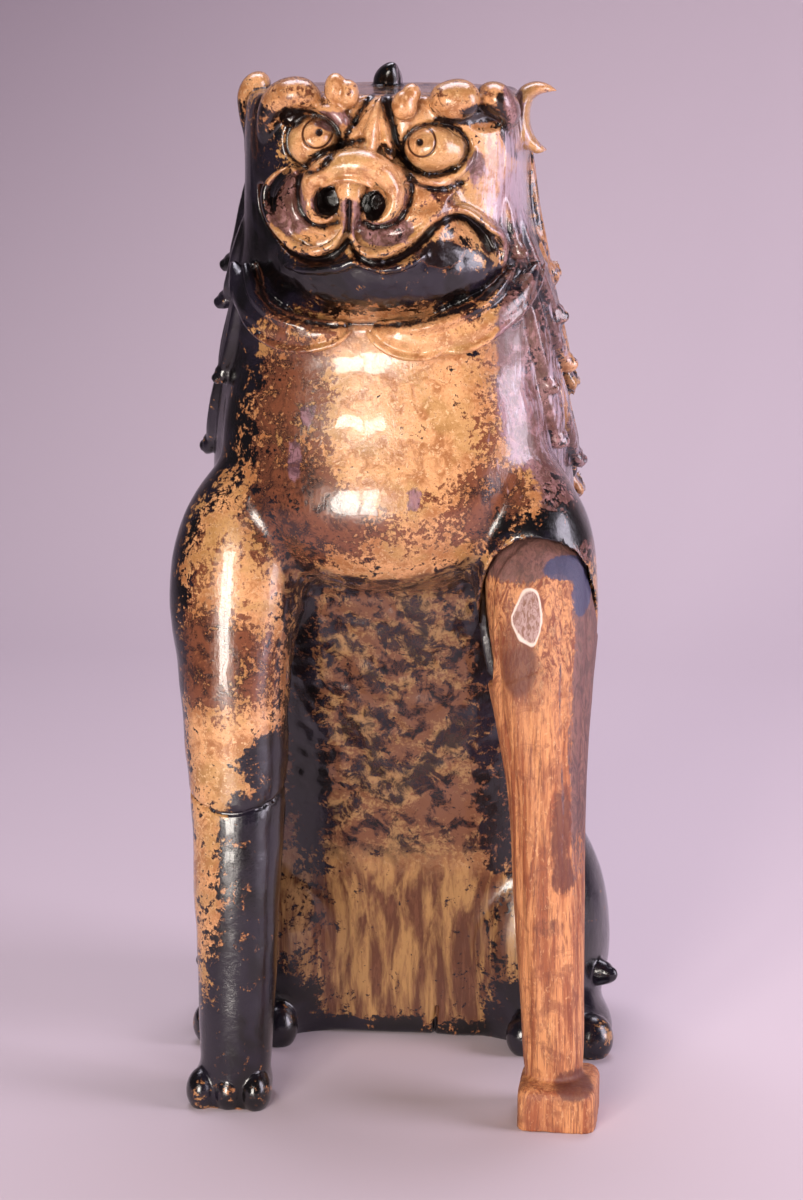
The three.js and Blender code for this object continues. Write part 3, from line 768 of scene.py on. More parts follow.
belly = (smooth_step((62 - np.abs(skin[:, 0])) / 16) * smooth_step((skin[:, 2] - 112) / 40)
         * smooth_step((292 - skin[:, 2]) / 22) * (skin[:, 1] < 20) * (skin[:, 1] > -72))
belly *= np.hypot(skin[:, 0] - 77, skin[:, 1] + 69) > 34
lumps = value_noise(skin, 13, 5) * 0.8 + value_noise(skin, 6, 6) * 0.7 + value_noise(skin, 3.1, 7) * 0.35
skin += outward * (belly * lumps)[:, None]

jaw = spot(skin, (0, -100, 412), (60, 40, 24), 0.6)
skin += outward * (jaw * (0.5 * value_noise(skin, 5, 15) + 0.3 * value_noise(skin, 2.6, 16)))[:, None]

hand_waves = value_noise(skin, 34, 8) * 0.8 + value_noise(skin, 15, 9) * 0.35 + value_noise(skin, 6, 10) * 0.1
quiet = (skin[:, 1] < -70) & (skin[:, 2] > 375)
skin += outward * (hand_waves * np.where(quiet, 0.25, 1.0))[:, None]

base_split = [(15, -4), (16.4, 6), (17.6, 17)]
carve(skin, base_split, 0.9, 3.0, front=30)
skin[:, 2] = np.maximum(skin[:, 2], 0)
set_places(figure, skin)
print("marks cut into", len(skin), "points of the skin")

# %% [markdown]
# ## Fewer triangles, kept where they count
# The fine skin has far more faces than the object needs. A Decimate modifier merges the faces
# that lie nearly flat, so the triangles stay where the face and the locks are.

# %% Thinning the skin
def triangles_of(thing):
    thing.data.calc_loop_triangles()
    return len(thing.data.loop_triangles)


def thinned(thing, most):
    count = triangles_of(thing)
    if count > most:
        modify(thing, "DECIMATE", decimate_type="COLLAPSE", ratio=most / count)
        applied(thing)
    for polygon in thing.data.polygons:
        polygon.use_smooth = True
    print(thing.name, "has", triangles_of(thing), "triangles")


thinned(figure, FIGURE_TRIANGLES)

# %% [markdown]
# ## The wooden foreleg
# Somebody cut this leg from one block of wood with a knife. It is flush with the shoulder below the
# break, a thinner tongue of it shows inside the arch, and it ends in a square paw with
# trimmed corners. It is made of the same rolls as the clay leg, then its round section is cut
# to flats, as long knife strokes leave.

# %% Tongue, leg and block paw
BLOCK_PAW = dict(x=89.5, y=-96.5, half_width=19.5, half_length=23.5, height=22)
KNIFE_FLATS = 11
FIT_GAP = 0.3


WOOD_OUTLINE = [
    (54.6, 204), (55, 232), (54.4, 248), (54, 260), (56, 269), (60.6, 277), (66.6, 283.4), (73.6, 286.8),
    (80.4, 286.6), (87.4, 284), (93.4, 279.4), (97.8, 272), (100.6, 260.6), (103.4, 247.6), (106, 236),
    (106, 204),
]
SHOULDER_SLOPE = 0.012


def fill_of_arch():
    """The wood that shows through the arch, level with the leg below. Its top is sloped back later, on the finished
    leg.
    """
    form = bmesh.new()
    foreleg(form, LEFT_FORELEG, recess=0.7)
    fill = as_object("fill", form)
    cut_by(fill, arch_block(WOOD_OUTLINE, back=-66), "INTERSECT")
    form = bmesh.new()
    form.from_mesh(fill.data)
    bpy.data.objects.remove(fill)
    return form


def wooden_forms():
    form = bmesh.new()
    foreleg(form, LEFT_FORELEG)
    cut_at_break(form, FIT_GAP, keep_above=False)
    foreleg(form, LEFT_FORELEG, TONGUE_INSET, TONGUE_RECESS)
    drop_in(form, fill_of_arch())
    paw = bmesh.new()
    size = (2 * BLOCK_PAW["half_width"], 2 * BLOCK_PAW["half_length"], BLOCK_PAW["height"])
    middle = (BLOCK_PAW["x"], BLOCK_PAW["y"], BLOCK_PAW["height"] / 2)
    bmesh.ops.create_cube(paw, size=1, matrix=Matrix.Translation(middle) @ Matrix.Diagonal((*size, 1)))
    upright = [edge for edge in paw.edges if abs(edge.verts[0].co.z - edge.verts[1].co.z) > 1]
    bmesh.ops.bevel(paw, geom=upright, offset=7, offset_type="OFFSET", affect="EDGES", segments=3,
                    profile=0.5, material=-1)
    level = [edge for edge in paw.edges if min(vert.co.z for vert in edge.verts) > size[2] - 0.1]
    bmesh.ops.bevel(paw, geom=level, offset=5, offset_type="OFFSET", affect="EDGES", segments=3,
                    profile=0.5, material=-1)
    drop_in(form, paw)
    return form


leg = skinned(as_object("carved_foreleg", wooden_forms()), WOOD_VOXEL, 3)
bark = places_of(leg)
facing = normals_of(leg)
middle_of_leg = eased(np.array([(z, x, y, half) for x, y, z, half, _ in LEFT_FORELEG[::-1]], float), bark[:, 2])
turn = np.arctan2(bark[:, 1] - middle_of_leg[:, 2], bark[:, 0] - middle_of_leg[:, 1])
flat_step = 2 * math.pi / KNIFE_FLATS
wander = 0.35 * value_noise(bark * (0.2, 0.2, 1), 40, 11)
local = (turn / flat_step + wander) % 1 - 0.5
sagitta = (1 - np.cos(local * flat_step)) / math.cos(flat_step / 2)
on_shaft = smooth_step((bark[:, 2] - BLOCK_PAW["height"]) / 8)
knife = on_shaft * (middle_of_leg[:, 3] * 1.1 * (sagitta.max() / 2 - sagitta))
grain = value_noise(bark * (1, 1, 0.06), 1.6, 12) * 0.16 + value_noise(bark * (1, 1, 0.2), 7, 13) * 0.3
bark += facing * np.clip(knife * 0.8 + grain - 0.25, -1.4, 0.25)[:, None]
up_the_slope = np.clip(bark[:, 2] - 256, 0, 40) * (bark[:, 1] < -66)
bark[:, 1] += SHOULDER_SLOPE * up_the_slope ** 2
bark[:, 2] = np.maximum(bark[:, 2], 0)
set_places(leg, bark)
thinned(leg, WOOD_TRIANGLES)

# %% [markdown]
# ## Where the glaze is thick, thin or worn, and where shade is painted
# Iron glaze runs off ridges and pools in hollows: thin glaze fires golden, thick glaze fires
# black. The script stores this on the skin as numbers from 0 to 1, one for each point. The dark numbers also hold
# painted shade in the gaps beside the forelegs and on the figure's right side.
# `dark_lines_and_shade` is different: it falls evenly with the distance from each cut line, so the shader can
# draw its edge finer than the triangles are. Its black is glaze pooled in the cuts, and painted shade in the nostrils,
# the mouth, under the brows and round the ears.

# %% Painting numbers on the skin
def band(values, low, high, soft):
    """1 between two values, falling softly to 0 outside them."""
    return smooth_step((values - low) / soft + 0.5) * smooth_step((high - values) / soft + 0.5)


def bulge_of(thing, rounds):
    """How far each point stands out of its surroundings, in millimetres."""
    places, outward = places_of(thing), normals_of(thing)
    count = len(thing.data.edges) * 2
    ends = np.empty(count, np.int32)
    thing.data.edges.foreach_get("vertices", ends)
    ends = ends.reshape(-1, 2)
    share = np.bincount(ends.ravel(), minlength=len(places)).astype(float).clip(1)
    soft = places.copy()
    for _ in range(rounds):
        total = np.zeros_like(soft)
        for axis in range(3):
            total[:, axis] = (np.bincount(ends[:, 0], soft[ends[:, 1], axis], len(soft))
                              + np.bincount(ends[:, 1], soft[ends[:, 0], axis], len(soft)))
        soft = 0.5 * soft + 0.5 * total / share[:, None]
    return ((places - soft) * outward).sum(axis=1)


def store(thing, name, values):
    layer = thing.data.attributes.new(name, "FLOAT", "POINT")
    layer.data.foreach_set("value", np.clip(values, 0, 1).astype(np.float32))


skin = places_of(figure)
outward = normals_of(figure)
x, y, z = skin.T
bulge = bulge_of(figure, 8)
ridge = smooth_step(bulge / 0.9)
crease = smooth_step(-bulge / 0.8)
in_front = smooth_step((-outward[:, 1] - 0.1) / 0.5)
shaded_right_side = smooth_step((-outward[:, 0] - 0.30) / 0.4)
faces_left = smooth_step((outward[:, 0] - 0.25) / 0.5)
print("ridges:", round(float(ridge.mean()), 3), "creases:", round(float(crease.mean()), 3))

# %% Black lines in the cuts, and painted shade in holes and gaps
DARK_LINE_REACH = 6.0
# Glaze pools black in most of these cut lines; the lines under the brows, round the ears and at the open corner of the
# mouth are painted shade.
DARK_LINES_AND_SHADE = (
    [(line, 0.9) for line in CREST_GROOVES] + [(line, 0.9) for line in NOSE_GROOVES]
    + [(line, 0.6) for line in EYE_LINES] + [(SEPTUM_LINE, 0.8), (MOUTH_LINE, 1.5), (JAW_CREASE, 0.6)]
    + [([(3.0, 502), (3.6, 496), (5.4, 490)], 1.8), ([(42, 442), (48, 436.4), (53, 428)], 2.2),
       ([(-54, 487), (-46, 492), (-38, 492.6), (-31, 491)], 1.0), ([(27, 489), (38, 488), (50, 488.4), (58, 492)], 1.2),
       ([(56.4, 500), (57.4, 490), (58.2, 480), (60.4, 473), (66, 467.6), (73, 467.8)], 1.2),
       ([(77, 496), (71, 492), (68.8, 484.5), (71.6, 478.6)], 0.9),
       ([(-58.4, 503), (-60.4, 495), (-62, 484), (-62, 470)], 1.1)]
)
# Painted shade in the nostrils, the hollows under the brows and the open corner of the mouth.
PAINTED_SHADE_OVALS = [(x_, z_, half_x, half_z) for x_, z_, half_x, half_z in NOSTRILS] + [
    (-42, 489.6, 5.6, 4.4), (48, 491.4, 8.6, 4.6), (31, 427, 9, 6),
]


def dark_line_and_shade_field(places, lines, ovals):
    """0.5 on the edge of each black line or oval, more inside it, less outside."""
    field = np.zeros(len(places))
    front = np.flatnonzero((places[:, 1] < -24) & (places[:, 2] > 375))
    here = places[front]
    for line, half_width in lines:
        field[front] = np.maximum(field[front], 0.5 + (half_width - line_reach(here, line)) / DARK_LINE_REACH)
    for middle_x, middle_z, half_x, half_z in ovals:
        reach = np.hypot((here[:, 0] - middle_x) / half_x, (here[:, 2] - middle_z) / half_z)
        field[front] = np.maximum(field[front], 0.5 + (1 - reach) * min(half_x, half_z) / DARK_LINE_REACH)
    return field


dark_lines_and_shade = dark_line_and_shade_field(skin, DARK_LINES_AND_SHADE, PAINTED_SHADE_OVALS)
# Painted shade deep inside the nostrils.
painted_nostril_shade = np.max([spot(skin, (x_, -104, z_), (half_x, 16, half_z), 0.2)
                     for x_, z_, half_x, half_z in NOSTRILS], axis=0)
store(figure, "dark_lines_and_shade", np.maximum(dark_lines_and_shade, painted_nostril_shade))
from_iris = np.min([np.hypot(x - iris["x"], z - iris["z"]) for iris in IRISES.values()], axis=0) + 12 * (y > -84)
store(figure, "off_ring", np.abs(from_iris - IRISES["left"]["ring"]) / 12)
store(figure, "pupil", np.min([np.hypot(x - iris["pupil_x"], z - iris["pupil_z"])
                               for iris in IRISES.values()], axis=0) / 6 + (y > -84))

# %% Pools, speckles, runs, painted shade and a painted reflection
GOLD_SPOTS = [
    ((4, -90, 336), (58, 60, 62), 0.62), ((-34, -80, 356), (26, 50, 34), 0.30), ((0, -96, 300), (50, 40, 16), 0.2),
    ((-78, -88, 264), (26, 45, 34), 0.62), ((-80, -90, 226), (24, 45, 30), 0.62),
    ((-74, -98, 192), (24, 40, 32), 0.7), ((-88, -100, 110), (10, 40, 54), 0.75),
    ((-10, -112, 464), (30, 20, 20), 0.9), ((-4, -98, 484), (12, 18, 20), 0.7),
    ((-31, -100, 478), (15, 16, 14), 1.2), ((26, -100, 475), (18, 16, 14), 1.2),
    ((28, -95, 386), (50, 25, 12), 0.8), ((-34, -95, 384), (34, 25, 9), 0.4),
    ((0, 0, 60), (62, 50, 54), 0.7), ((30, -92, 452), (14, 24, 10), 0.5),
    ((70, -40, 486), (14, 22, 22), 0.7), ((38, -84, 498), (26, 20, 12), 0.55),
    ((-40, -84, 499), (16, 20, 10), 0.5), ((-17, -92, 502), (10, 14, 10), 1.0), ((13, -92, 498), (8, 14, 10), 1.0),
    ((-34, -100, 436), (24, 16, 12), 0.6), ((8, -104, 432), (24, 16, 10), 0.7),
    ((48, -78, 436), (14, 16, 14), 0.4), ((50, -70, 462), (20, 30, 18), 0.8),
    ((-64, -40, 498), (12, 20, 10), 0.3), ((64, -80, 424), (7, 14, 7), 0.7), ((60, -60, 340), (20, 50, 50), 0.4),
    ((0, -30, 190), (60, 60, 100), 0.25),
]
# Black glaze patches. The spots between the forelegs and the belly, beside the wooden tongue and in the fold inside the
# right arm are painted shade; those on the figure's right neck and outer right arm are black glaze with painted shade
# over it; one spot makes a dark band along the base.
BLACK_SPOTS = [
    ((-90, -20, 400), (28, 70, 90), 0.7), ((-108, -50, 250), (15, 60, 74), 0.7),
    ((-64, -70, 424), (18, 40, 32), 0.6), ((0, -96, 417), (66, 40, 15), 0.62), ((0, -96, 402), (64, 40, 12), 0.3),
    ((-52, -62, 105), (12, 40, 76), 0.7), ((-58, -88, 178), (13, 34, 12), 0.9), ((-60, -88, 150), (14, 34, 10), 0.8),
    ((-68, -98, 96), (20, 40, 62), 0.5), ((-74, -90, 14), (34, 40, 34), 0.55), ((-72, -98, 50), (20, 30, 26), 0.25),
    ((80, -66, 292), (26, 40, 10), 0.8), ((-48, -34, 180), (12, 40, 90), 0.6), ((-46, -30, 80), (12, 40, 90), 0.6),
    ((50, -40, 170), (11, 44, 90), 0.6), ((50, -30, 70), (10, 44, 80), 0.4), ((52, -60, 232), (10, 40, 36), 0.6),
    ((0, 0, 4), (90, 120, 6), 0.9), ((98, 30, 70), (24, 70, 84), 0.8), ((-96, 30, 70), (26, 70, 84), 0.8),
    ((70, -10, 20), (24, 50, 24), 0.8), ((-70, -10, 20), (24, 50, 24), 0.8),
    ((-2, -5, 508), (12, 14, 9), 0.8), ((-60, -74, 476), (8, 24, 22), 0.35), ((-66, -60, 445), (14, 30, 20), 0.45),
    ((-55, -90, 446), (6, 14, 14), 0.3), ((0, 110, 250), (110, 60, 300), 0.3), ((-40, -60, 300), (14, 40, 14), 0.2),
]
# The figure's right side, facing -X, is darkened a little more as painted shade.
dark = 0.44 + 0.1 * shaded_right_side + 0.30 * crease - 0.22 * ridge
for centre, radii, amount in GOLD_SPOTS:
    dark -= amount * 0.5 * spot(skin, centre, radii, 1.1)
for centre, radii, amount in BLACK_SPOTS:
    dark += amount * 0.6 * spot(skin, centre, radii, 1.1)
store(figure, "dark", dark)

BROWN_SPOTS = [
    ((-46, -80, 345), (26, 50, 70), 0.34), ((30, -80, 300), (50, 40, 22), 0.26), ((-30, -80, 296), (34, 40, 22), 0.3),
    ((-78, -90, 222), (34, 40, 26), 0.34), ((-88, -60, 250), (18, 40, 54), 0.2), ((0, -98, 404), (60, 30, 24), 0.2),
    ((-10, -105, 468), (46, 30, 24), -0.30), ((8, -90, 342), (34, 40, 50), -0.22), ((54, -70, 340), (18, 40, 54), 0.2),
    ((-74, -96, 186), (24, 40, 18), -0.15), ((-88, -100, 120), (10, 40, 50), -0.1), ((0, -90, 384), (60, 30, 12), -0.1),
    ((-40, -84, 500), (18, 20, 12), 0.16), ((40, -84, 498), (22, 20, 12), 0.10), ((26, -92, 452), (14, 24, 9), 0.3),
]
mottle = 0.38 + 0 * x
for centre, radii, amount in BROWN_SPOTS:
    mottle += amount * spot(skin, centre, radii, 1.0)
store(figure, "mottle", mottle)

in_belly = (np.abs(x) < 66) * (y > -78) * (y < 40) * in_front
store(figure, "belly", in_belly * smooth_step((288 - z) / 18) * smooth_step((z - 84) / 34))
store(figure, "streak", in_belly * smooth_step((118 - z) / 34) * smooth_step((z - 4) / 6))

MAUVE_SPOTS = [
    ((-40, -96, 450), (15, 20, 15), 0.9), ((4, -104, 438), (14, 14, 7), 1.0), ((20, -98, 450), (10, 14, 9), 0.35),
    ((-22, -94, 489), (10, 10, 5), 0.8), ((-11.7, -110, 446), (6, 10, 9), 0.5), ((60, -60, 492), (5, 30, 16), 0.9),
    ((70, -60, 380), (16, 60, 60), 0.8), ((64, -60, 440), (12, 40, 24), 0.5), ((-36.5, -86, 347), (4, 20, 5), 0.9),
    ((-42, -84, 324), (4.2, 20, 11), 0.8), ((17, -96, 309), (3, 20, 7), 0.8), ((-70, -60, 400), (16, 40, 20), 0.6),
    ((88, -40, 300), (18, 60, 40), 0.7), ((0, -104, 421), (30, 12, 3), 0.6), ((46, -88, 466), (5, 12, 9), 0.7),
]
mauve = 0.25 * faces_left + 0 * x
for centre, radii, amount in MAUVE_SPOTS:
    mauve += amount * spot(skin, centre, radii, 0.6)
store(figure, "mauve", mauve)

# Painted reflection: a pale lavender sheen on the figure's left side, which faces the pale side light, and on two
# patches of its left cheek and neck.
painted_sheen = 0.55 * faces_left * smooth_step((z - 250) / 60) * smooth_step((-20 - y) / -60 + 1)
painted_sheen += 0.75 * spot(skin, (60, -66, 458), (18, 40, 26), 0.8) + 0.35 * spot(skin, (66, -56, 340), (22, 60, 50), 0.8)
store(figure, "painted_sheen", painted_sheen)
print("glaze marks stored on", len(skin), "points")

# %% [markdown]
# ## Colour, and one way to add a node
# Colours are given as sRGB hex, as a colour picker shows them, and turned linear once.
# `add_node` makes any shader node with its settings and inputs in one call, and hands back the
# output that the next node reads.

# %% Colour and the node helper
def linear(hex_colour):
    parts = [int(hex_colour[i:i + 2], 16) / 255 for i in (1, 3, 5)]
    return (*[p / 12.92 if p <= 0.04045 else ((p + 0.055) / 1.055) ** 2.4 for p in parts], 1.0)


def add_node(tree, kind, inputs, output=0, **settings):
    """Adds a node. An input is a number, a hex colour or the output of another node."""
    node = tree.nodes.new("ShaderNode" + kind)
    for key, value in settings.items():
        setattr(node, key, value)
    for key, value in inputs.items():
        if isinstance(value, bpy.types.NodeSocket):
            tree.links.new(value, node.inputs[key])
        else:
            node.inputs[key].default_value = linear(value) if isinstance(value, str) else value
    return None if output is None else node.outputs[output]


# %% [markdown]
# ## Iron glaze
# The real finish is a glossy iron glaze over a buff clay, brushed and dipped in uneven coats.
# Its golden parts are speckled with brown, its pools are almost black, and the belly is a cloud of
# brown, olive and black. The speckles are 1 to 3 mm, so the noise sizes are given in millimetres.
# The layers are laid on in the order in which they lie: clay, gold, brown, mauve, black, and last a painted lavender
# reflection.

# %% Glaze colours and pattern
def built(tree, noises, marks, sums, layers):
    """Builds a pattern from tables: noises, stored marks, weighted sums of them, then colour layers."""
    place = add_node(tree, "TexCoord", {}, "Object")
    fields = {}
    for name, stretch, size, detail, rough, twist in noises:
        vector = add_node(tree, "Mapping", {"Vector": place, "Scale": (1, 1, stretch)})
        fields[name] = add_node(tree, "TexNoise", {"Vector": vector, "Scale": 1 / (size * MM), "Detail": detail,
                                                   "Roughness": rough, "Distortion": twist}, "Fac")
    for name in marks:
        fields[name] = add_node(tree, "Attribute", {}, "Fac", attribute_name=name)
    for name, terms in sums.items():
        value = -0.5 * sum(weight for _, weight in terms)
        for source, weight in terms:
            value = add_node(tree, "Math", {0: fields[source], 1: weight, 2: value}, operation="MULTIPLY_ADD")
        fields[name] = value
    for name, under, over, source, low, high, strength in layers:
        shown = add_node(tree, "MapRange", {"Value": fields[source], "From Min": low, "From Max": high,
                                            "To Max": strength}, "Result", interpolation_type="SMOOTHSTEP")
        fields[name] = add_node(tree, "Mix", {0: shown, 6: fields.get(under, under), 7: fields.get(over, over)},
                                2, data_type="RGBA")
    return fields


# Name, stretch along Z, size in millimetres, detail, roughness and twist of each noise.
GLAZE_NOISES = (
    ("clouds", 1, 30, 5, 0.55, 0.6), ("blots", 1, 9, 7, 0.68, 0.5), ("speckles", 1, 2.4, 5, 0.72, 0.2),
    ("grit", 1, 0.8, 3, 0.6, 0), ("runs", 0.1, 7, 5, 0.6, 0.4), ("brushed", 0.1, 2.2, 4, 0.65, 0.2),
)
GLAZE_MARKS = ("dark", "mottle", "belly", "streak", "mauve", "painted_sheen", "dark_lines_and_shade", "off_ring", "pupil")
GLAZE_SUMS = {
    "flecks": (("mottle", 1.0), ("speckles", 1.3), ("blots", 1.3)),
    "haze": (("speckles", 1.0), ("clouds", 1.6)),
    "gloom": (("blots", 1.0), ("clouds", 1.4)),
    "washed": (("mauve", 1.0), ("speckles", 0.8), ("blots", 1.0)),
    "pooled_glaze_and_shade": (("dark", 1.0), ("blots", 2.0), ("speckles", 1.4)),
    "drawn": (("dark_lines_and_shade", 1.0), ("speckles", 0.6), ("blots", 0.8)),
    "painted_reflection": (("painted_sheen", 0.9), ("brushed", 1.6), ("blots", 0.8)),
    "height": (("speckles", 0.5), ("blots", 0.8), ("grit", 0.18), ("brushed", 0.3)),
}
# Result, colour under, colour over, the value that brings it in from low to high, and its strength.
GLAZE_LAYERS = (
    ("gold", "#9C673F", "#D29C6C", "blots", 0.38, 0.58, 1),
    ("gold", "gold", "#A5834E", "clouds", 0.48, 0.62, 0.5),
    ("gold", "gold", "#E6BD8E", "speckles", 0.53, 0.64, 0.7),
    ("gold", "gold", "#7E4B2C", "grit", 0.56, 0.68, 0.5),
    ("brown", "#331C17", "#6E402B", "blots", 0.42, 0.58, 1),
    ("brown", "brown", "#98603A", "speckles", 0.55, 0.65, 0.5),
    ("colour", "gold", "brown", "flecks", 0.0, 0.14, 1),
    ("cloudy", "#6B4530", "#94704A", "haze", -0.05, 0.16, 1),
    ("cloudy", "cloudy", "#2C191A", "blots", 0.47, 0.58, 0.9),
    ("cloudy", "cloudy", "#140D10", "gloom", 0.0, 0.2, 0.92),
    ("colour", "colour", "cloudy", "belly", 0, 1, 1),
    ("runny", "#53301F", "#9C7549", "runs", 0.40, 0.62, 1),
    ("runny", "runny", "#6E4630", "brushed", 0.48, 0.62, 0.5),
    ("colour", "colour", "runny", "streak", 0, 1, 1),
    ("dusk", "#4C3239", "#8A6670", "blots", 0.42, 0.58, 1),
    ("dusk", "dusk", "#2E1C20", "brushed", 0.52, 0.60, 0.7),
    ("colour", "colour", "dusk", "washed", -0.15, 0.10, 0.85),
    ("black", "#080607", "#17131D", "clouds", 0.45, 0.60, 1),
    # Black where the glaze pools, with painted shade in the gaps beside the forelegs and on the figure's right side.
    ("colour", "colour", "#43251A", "pooled_glaze_and_shade", -0.14, -0.02, 0.9),
    ("colour", "colour", "black", "pooled_glaze_and_shade", -0.04, 0.06, 1),
    # Dark cut lines of pooled glaze, and painted shade in the nostrils, the mouth, under the brows and round the ears.
    ("colour", "colour", "#55301F", "drawn", -0.18, -0.06, 0.75),
    ("colour", "colour", "#100A0C", "drawn", -0.09, 0.02, 0.95),
    ("colour", "#4A2716", "colour", "off_ring", 0.028, 0.060, 1),
    ("colour", "#1C0F0C", "colour", "pupil", 0.22, 0.34, 1),
    # Painted reflection: a pale lavender sheen on the figure's left side.
    ("colour", "colour", "#B9A4B0", "painted_reflection", 0.0, 0.4, 0.75),
)


def iron_glaze():
    material = bpy.data.materials.new("glossy_iron_glaze_on_stoneware")
    material.use_nodes = True
    tree = material.node_tree
    tree.nodes.clear()
    fields = built(tree, GLAZE_NOISES, GLAZE_MARKS, GLAZE_SUMS, GLAZE_LAYERS)
    normal = add_node(tree, "Bump", {"Height": fields["height"], "Strength": 0.45, "Distance": 0.7 * MM})
    rough = add_node(tree, "MapRange", {"Value": fields["speckles"], "From Min": 0.3, "From Max": 0.75,
                                        "To Min": 0.08, "To Max": 0.30}, "Result")
    shader = add_node(tree, "BsdfPrincipled", {
        "Base Color": fields["colour"], "Roughness": rough, "Normal": normal, "IOR": 1.52,
        "Coat Weight": 0.4, "Coat Roughness": 0.04})
    add_node(tree, "OutputMaterial", {"Surface": shader}, None)
    return material


# %% [markdown]
# ## Carved wood
# The leg is bare softwood gone orange-brown, with upright grain about a millimetre wide,
# dark stains, and remains of dark paint around its shoulder where somebody matched the glaze.
# Higher up the wood is burred, and its figure swirls.

# %% Wood marks and colours
bark = places_of(leg)
facing = normals_of(leg)
paint = 1.2 * smooth_step((bark[:, 2] - 258) / 20)
paint += 0.85 * smooth_step((facing[:, 0] - 0.45) / 0.35) * smooth_step((bark[:, 2] - 60) / 120)
paint -= 1.1 * spot(bark, (84, -90, 262), (9, 30, 9), 0.8)
store(leg, "paint", paint)
STAINS = [
    ((90, -110, 150), (6, 30, 24), 1.0), ((91.5, -110, 124), (6, 30, 8), 1.2), ((84, -100, 100), (12, 30, 6), 0.6),
    ((98, -110, 22), (10, 20, 6), 1.2), ((66, -100, 236), (10, 30, 22), 0.7), ((90, -110, 40), (8, 30, 10), 0.5),
    ((74, -100, 222), (14, 30, 14), 0.5), ((72, -105, 180), (6, 30, 20), 0.4),
]
store(leg, "stain", sum(amount * spot(bark, centre, radii, 0.9) for centre, radii, amount in STAINS))
chip_edge = value_noise(bark, 5, 21) * 0.22
chip = 1.5 - np.hypot((bark[:, 0] - 72) / 7.4, (bark[:, 2] - 252) / 12) + chip_edge
store(leg, "chip", np.clip(chip, 0, 1) * (bark[:, 1] < -70))
store(leg, "blue", 0.9 * spot(bark, (90, -85, 274), (12, 30, 6), 0.6) + 0.9 * spot(bark, (97, -85, 262), (5, 30, 12), 0.5))
store(leg, "burr", smooth_step((bark[:, 2] - 185) / 50))

WOOD_NOISES = (
    ("fibres", 0.06, 1.0, 5, 0.7, 0.3), ("bands", 0.06, 5, 4, 0.6, 0.8), ("blots", 1, 14, 6, 0.65, 0.9),
    ("swirls", 0.4, 5, 6, 0.72, 2.2), ("flecks", 0.4, 1.6, 4, 0.7, 0.8),
)
WOOD_MARKS = ("paint", "stain", "chip", "blue", "burr")
WOOD_SUMS = {
    "worn": (("stain", 1.0), ("swirls", 1.6)),
    "coat": (("paint", 1.0), ("flecks", 1.2)),
    "night": (("blue", 1.0), ("flecks", 0.8)),
    "height": (("fibres", 0.8), ("flecks", 1.0)),
}
WOOD_LAYERS = (
    ("colour", "#94502F", "#C98858", "bands", 0.38, 0.60, 1),
    ("colour", "colour", "#6C3521", "fibres", 0.48, 0.64, 0.8),
    ("burred", "#7A3F29", "#C78A5C", "swirls", 0.42, 0.56, 1),
    ("burred", "burred", "#5E2C1E", "flecks", 0.52, 0.62, 0.75),
    ("colour", "colour", "burred", "burr", 0, 1, 1),
    ("colour", "colour", "#7A3E27", "blots", 0.50, 0.62, 0.6),
    ("colour", "colour", "#E0AC7C", "flecks", 0.56, 0.66, 0.45),
    ("colour", "colour", "#5A2A20", "worn", -0.10, 0.40, 0.85),
    ("old_paint", "#7A5550", "#4A3438", "swirls", 0.40, 0.60, 1),
    ("colour", "colour", "old_paint", "coat", -0.10, 0.16, 0.9),
    ("colour", "colour", "#3B3D5A", "night", -0.05, 0.15, 0.9),
    ("chipped", "#A98A86", "#7E5648", "flecks", 0.44, 0.60, 1),
    ("colour", "colour", "#E4D2C8", "chip", 0.42, 0.50, 0.85),
    ("colour", "colour", "chipped", "chip", 0.54, 0.64, 1),
)


def carved_wood():
    material = bpy.data.materials.new("carved_softwood_with_old_paint")
    material.use_nodes = True
    tree = material.node_tree
    tree.nodes.clear()
    fields = built(tree, WOOD_NOISES, WOOD_MARKS, WOOD_SUMS, WOOD_LAYERS)
    normal = add_node(tree, "Bump", {"Height": fields["height"], "Strength": 0.7, "Distance": 0.6 * MM})
    shader = add_node(tree, "BsdfPrincipled", {"Base Color": fields["colour"], "Roughness": 0.5,
                                               "Normal": normal, "IOR": 1.5})
    add_node(tree, "OutputMaterial", {"Surface": shader}, None)
    return material


# %% [markdown]
# ## Into metres, and onto the frame
# Both meshes are scaled from millimetres to metres and given their finish; each goes under the root,
# and the imported solid that it stands for is hidden.

# %% Finished pieces
for thing, material, node, slot in (
        (figure, iron_glaze(), "glazed_figure", "iron_glaze"),
        (leg, carved_wood(), "wooden_foreleg", "aged_wood")):
    thing.data.transform(Matrix.Scale(MM, 4))
    thing.data.materials.clear()
    thing.data.materials.append(material)
    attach(thing, "root")
    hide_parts(node)

# %% [markdown]
# ## Floor, backdrop and camera
# The statue stands on a pale lilac sweep: a floor that curves up into a backdrop, drawn from one
# edge by extruding it along the curve. The camera looks slightly down and from the figure's left.

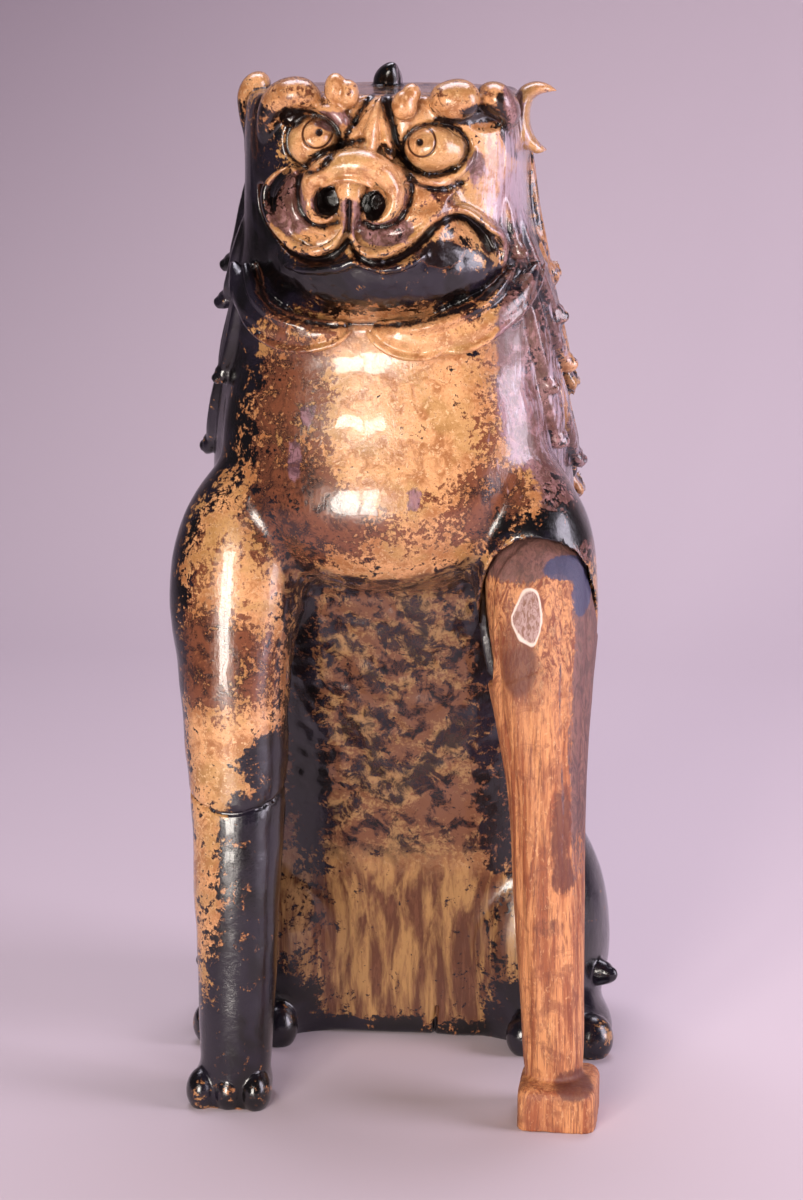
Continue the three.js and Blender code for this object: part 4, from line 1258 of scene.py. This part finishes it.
# %% Sweep
def sweep():
    form = bmesh.new()
    half_width, front, bend_start, radius, top = 4.0, -2.6, 0.9, 0.9, 4.0
    edge_ends = [form.verts.new((side * half_width, front, 0)) for side in (-1, 1)]
    edge = form.edges.new(edge_ends)
    steps = 16
    arc = [(bend_start + radius * math.sin(a), radius * (1 - math.cos(a)))
           for a in (math.pi / 2 * i / steps for i in range(steps + 1))]
    previous = (front, 0.0)
    for y_to, z_to in arc + [(bend_start + radius, top)]:
        grown = bmesh.ops.extrude_edge_only(form, edges=[edge])["geom"]
        verts = [part for part in grown if isinstance(part, bmesh.types.BMVert)]
        bmesh.ops.translate(form, vec=(0, y_to - previous[0], z_to - previous[1]), verts=verts)
        edge = next(part for part in grown if isinstance(part, bmesh.types.BMEdge))
        previous = (y_to, z_to)
    bmesh.ops.recalc_face_normals(form, faces=form.faces)
    thing = as_object("studio_sweep", form)
    for polygon in thing.data.polygons:
        polygon.use_smooth = True
    material = bpy.data.materials.new("lilac_paper_with_painted_falloff")
    material.use_nodes = True
    tree = material.node_tree
    tree.nodes.clear()
    place = add_node(tree, "TexCoord", {}, "Object")
    # Painted shade: the paper is darker towards the top left, where less light falls.
    up_and_left = add_node(tree, "VectorMath", {0: place, 1: (-0.6, 0, 1)}, "Value", operation="DOT_PRODUCT")
    shade = add_node(tree, "MapRange", {"Value": up_and_left, "From Min": -0.05, "From Max": 0.85}, "Result")
    paper = add_node(tree, "Mix", {0: shade, 6: "#CEBFC7", 7: "#91838E"}, 2, data_type="RGBA")
    shader = add_node(tree, "BsdfPrincipled", {"Base Color": paper, "Roughness": 0.9})
    add_node(tree, "OutputMaterial", {"Surface": shader}, None)
    thing.data.materials.append(material)
    return thing


backdrop = sweep()


def aimed(thing, place, target):
    thing.location = place
    thing.rotation_euler = (Vector(target) - Vector(place)).to_track_quat("-Z", "Y").to_euler()
    bpy.context.scene.collection.objects.link(thing)
    return thing


camera_data = bpy.data.cameras.new("photo_camera")
camera_data.lens = 100.3
camera_data.sensor_width = 36
camera = aimed(bpy.data.objects.new("photo_camera", camera_data),
               (0.1896, -1.6622, 0.5947), (0.0014, -0.010, 0.2412))
bpy.context.scene.camera = camera

# %% [markdown]
# ## Soft studio light
# The chest of the real figure mirrors a tall window with a bar down its middle, and the figure's
# left side mirrors pale surroundings. Each of these is an area light.

# %% Lights
def area_light(name, place, target, width, height, power, colour="#FFFFFF"):
    data = bpy.data.lights.new(name, "AREA")
    data.shape = "RECTANGLE"
    data.size, data.size_y = width, height
    data.energy = power
    data.color = linear(colour)[:3]
    return aimed(bpy.data.objects.new(name, data), place, target)


area_light("window_pane_left", (-0.60, -1.95, 0.47), (0, -0.05, 0.32), 0.30, 0.86, 22, "#FFF6EC")
area_light("window_pane_right", (-0.26, -2.02, 0.47), (0, -0.05, 0.32), 0.30, 0.86, 22, "#FFF6EC")
area_light("pale_side", (1.9, -0.35, 0.75), (0, 0, 0.35), 0.9, 1.5, 44, "#EDE4F4")
area_light("overhead", (-0.1, 0.7, 2.0), (0, 0, 0.3), 1.6, 0.8, 30, "#F6F0FF")
fill = area_light("front_fill", (0.5, -2.6, 1.7), (0, 0, 0.25), 2.0, 1.4, 22, "#FFF4EE")
fill.visible_glossy = False

world = bpy.data.worlds.new("pale_room")
bpy.context.scene.world = world
world.use_nodes = True
world.node_tree.nodes["Background"].inputs["Color"].default_value = linear("#CFC3D2")
world.node_tree.nodes["Background"].inputs["Strength"].default_value = 0.12
bpy.context.scene.view_settings.view_transform = "Standard"
